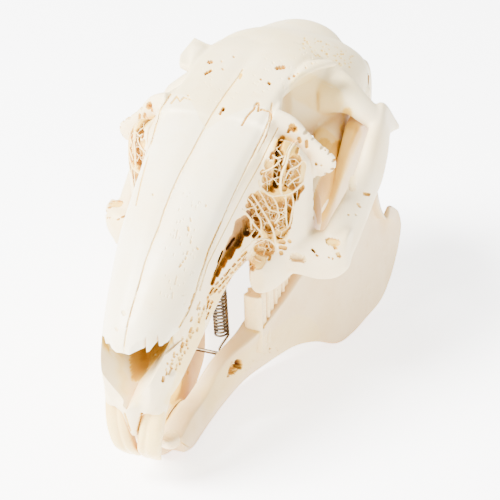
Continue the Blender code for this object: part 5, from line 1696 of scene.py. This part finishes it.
bronze = Finish("tarnished_spring_wire")
bronze_place = bronze.node("ShaderNodeTexCoord", {}, {}, 3)
tarnish = bronze.noise(bronze_place, *TARNISH_NOISE)
bronze.feed(bronze.shader.inputs["Base Color"],
            bronze.mix(bronze.between(tarnish, *TARNISH_PATCHES), BRONZE_PALE, BRONZE_DARK))
bronze.feed(bronze.shader.inputs["Roughness"], BRONZE_ROUGH[0] + tarnish * BRONZE_ROUGH[1])
bronze.shader.inputs["Metallic"].default_value = 1.0
spring = round_wires("jaw_spring_piece", [(spring_places, [SPRING_WIRE] * len(spring_places))], 5)
pin_places = [(-PIN_REACH, *WIRE_MIDDLE[1:]), (PIN_REACH, *WIRE_MIDDLE[1:])]
pin = round_wires("jaw_wire_piece", [(pin_places, [PIN_RADIUS] * 2)], 6)
for thing, node in ((spring, "jaw_spring"), (pin, "jaw_wire")):
    shown(thing, node, bronze.material, WIRE_SHARP)
bpy.data.collections.remove(bench)


# Floor, light and camera
# A table covered with white paper, under one soft studio lamp at the front left and the light of white walls.
# The camera looks down from the animal's left, as the photograph does.

FLOOR_HALF = 3.0
KEY_LIGHT = 72.0
KEY_SIZE = 0.45
KEY_PLACE = (-0.45, -0.5, 0.75)
FILL_WORLD = 1.25
FLOOR_GLOW = 3.0
SENSOR = 36.0
CLIP_START = 0.01
PAPER_NOISE = (30.0, 2.0)
PAPER_GREY = (0.93, 0.93, 0.93, 1.0)
PAPER_WHITE = (0.95, 0.95, 0.95, 1.0)
PAPER_ROUGH = 0.9
WHITE = (1.0, 1.0, 1.0, 1.0)

floor_mesh = bpy.data.meshes.new("table")
corners = [(x * FLOOR_HALF, y * FLOOR_HALF, 0) for x, y in ((-1, -1), (1, -1), (1, 1), (-1, 1))]
floor_mesh.from_pydata(corners, [], [(0, 1, 2, 3)])
floor = bpy.data.objects.new("table", floor_mesh)
bpy.context.scene.collection.objects.link(floor)
paper = Finish("white_paper")
paper_place = paper.node("ShaderNodeTexCoord", {}, {}, 3)
paper.feed(paper.shader.inputs["Base Color"],
           paper.mix(paper.noise(paper_place, *PAPER_NOISE), PAPER_GREY, PAPER_WHITE))
paper.shader.inputs["Roughness"].default_value = PAPER_ROUGH
paper.shader.inputs["Emission Color"].default_value = WHITE
paper.shader.inputs["Emission Strength"].default_value = FLOOR_GLOW
floor_mesh.materials.append(paper.material)

world = bpy.data.worlds.new("studio")
world.use_nodes = True
world.node_tree.nodes["Background"].inputs["Color"].default_value = WHITE
world.node_tree.nodes["Background"].inputs["Strength"].default_value = FILL_WORLD
bpy.context.scene.world = world

key = bpy.data.lights.new("key", "AREA")
key.energy = KEY_LIGHT
key.size = KEY_SIZE
key_light = bpy.data.objects.new("key", key)
key_light.location = KEY_PLACE
key_light.rotation_euler = (-Vector(KEY_PLACE)).to_track_quat("-Z", "Y").to_euler()
bpy.context.scene.collection.objects.link(key_light)

lens = bpy.data.cameras.new("camera")
lens.sensor_width = SENSOR
lens.sensor_fit = "HORIZONTAL"
lens.lens = SENSOR * VIEW_FOCAL / (2 * FRAME_MIDDLE)
lens.clip_start = CLIP_START
camera = bpy.data.objects.new("camera", lens)
turned_axes = [(REST_TURN.to_3x3() @ Vector(axis)).normalized() for axis in (view_right, view_up, view_back)]
eye_place = Matrix.Translation(rest_place @ Vector(view_eye))
camera.matrix_world = eye_place @ Matrix(turned_axes).transposed().to_4x4()
bpy.context.scene.collection.objects.link(camera)
bpy.context.scene.camera = camera
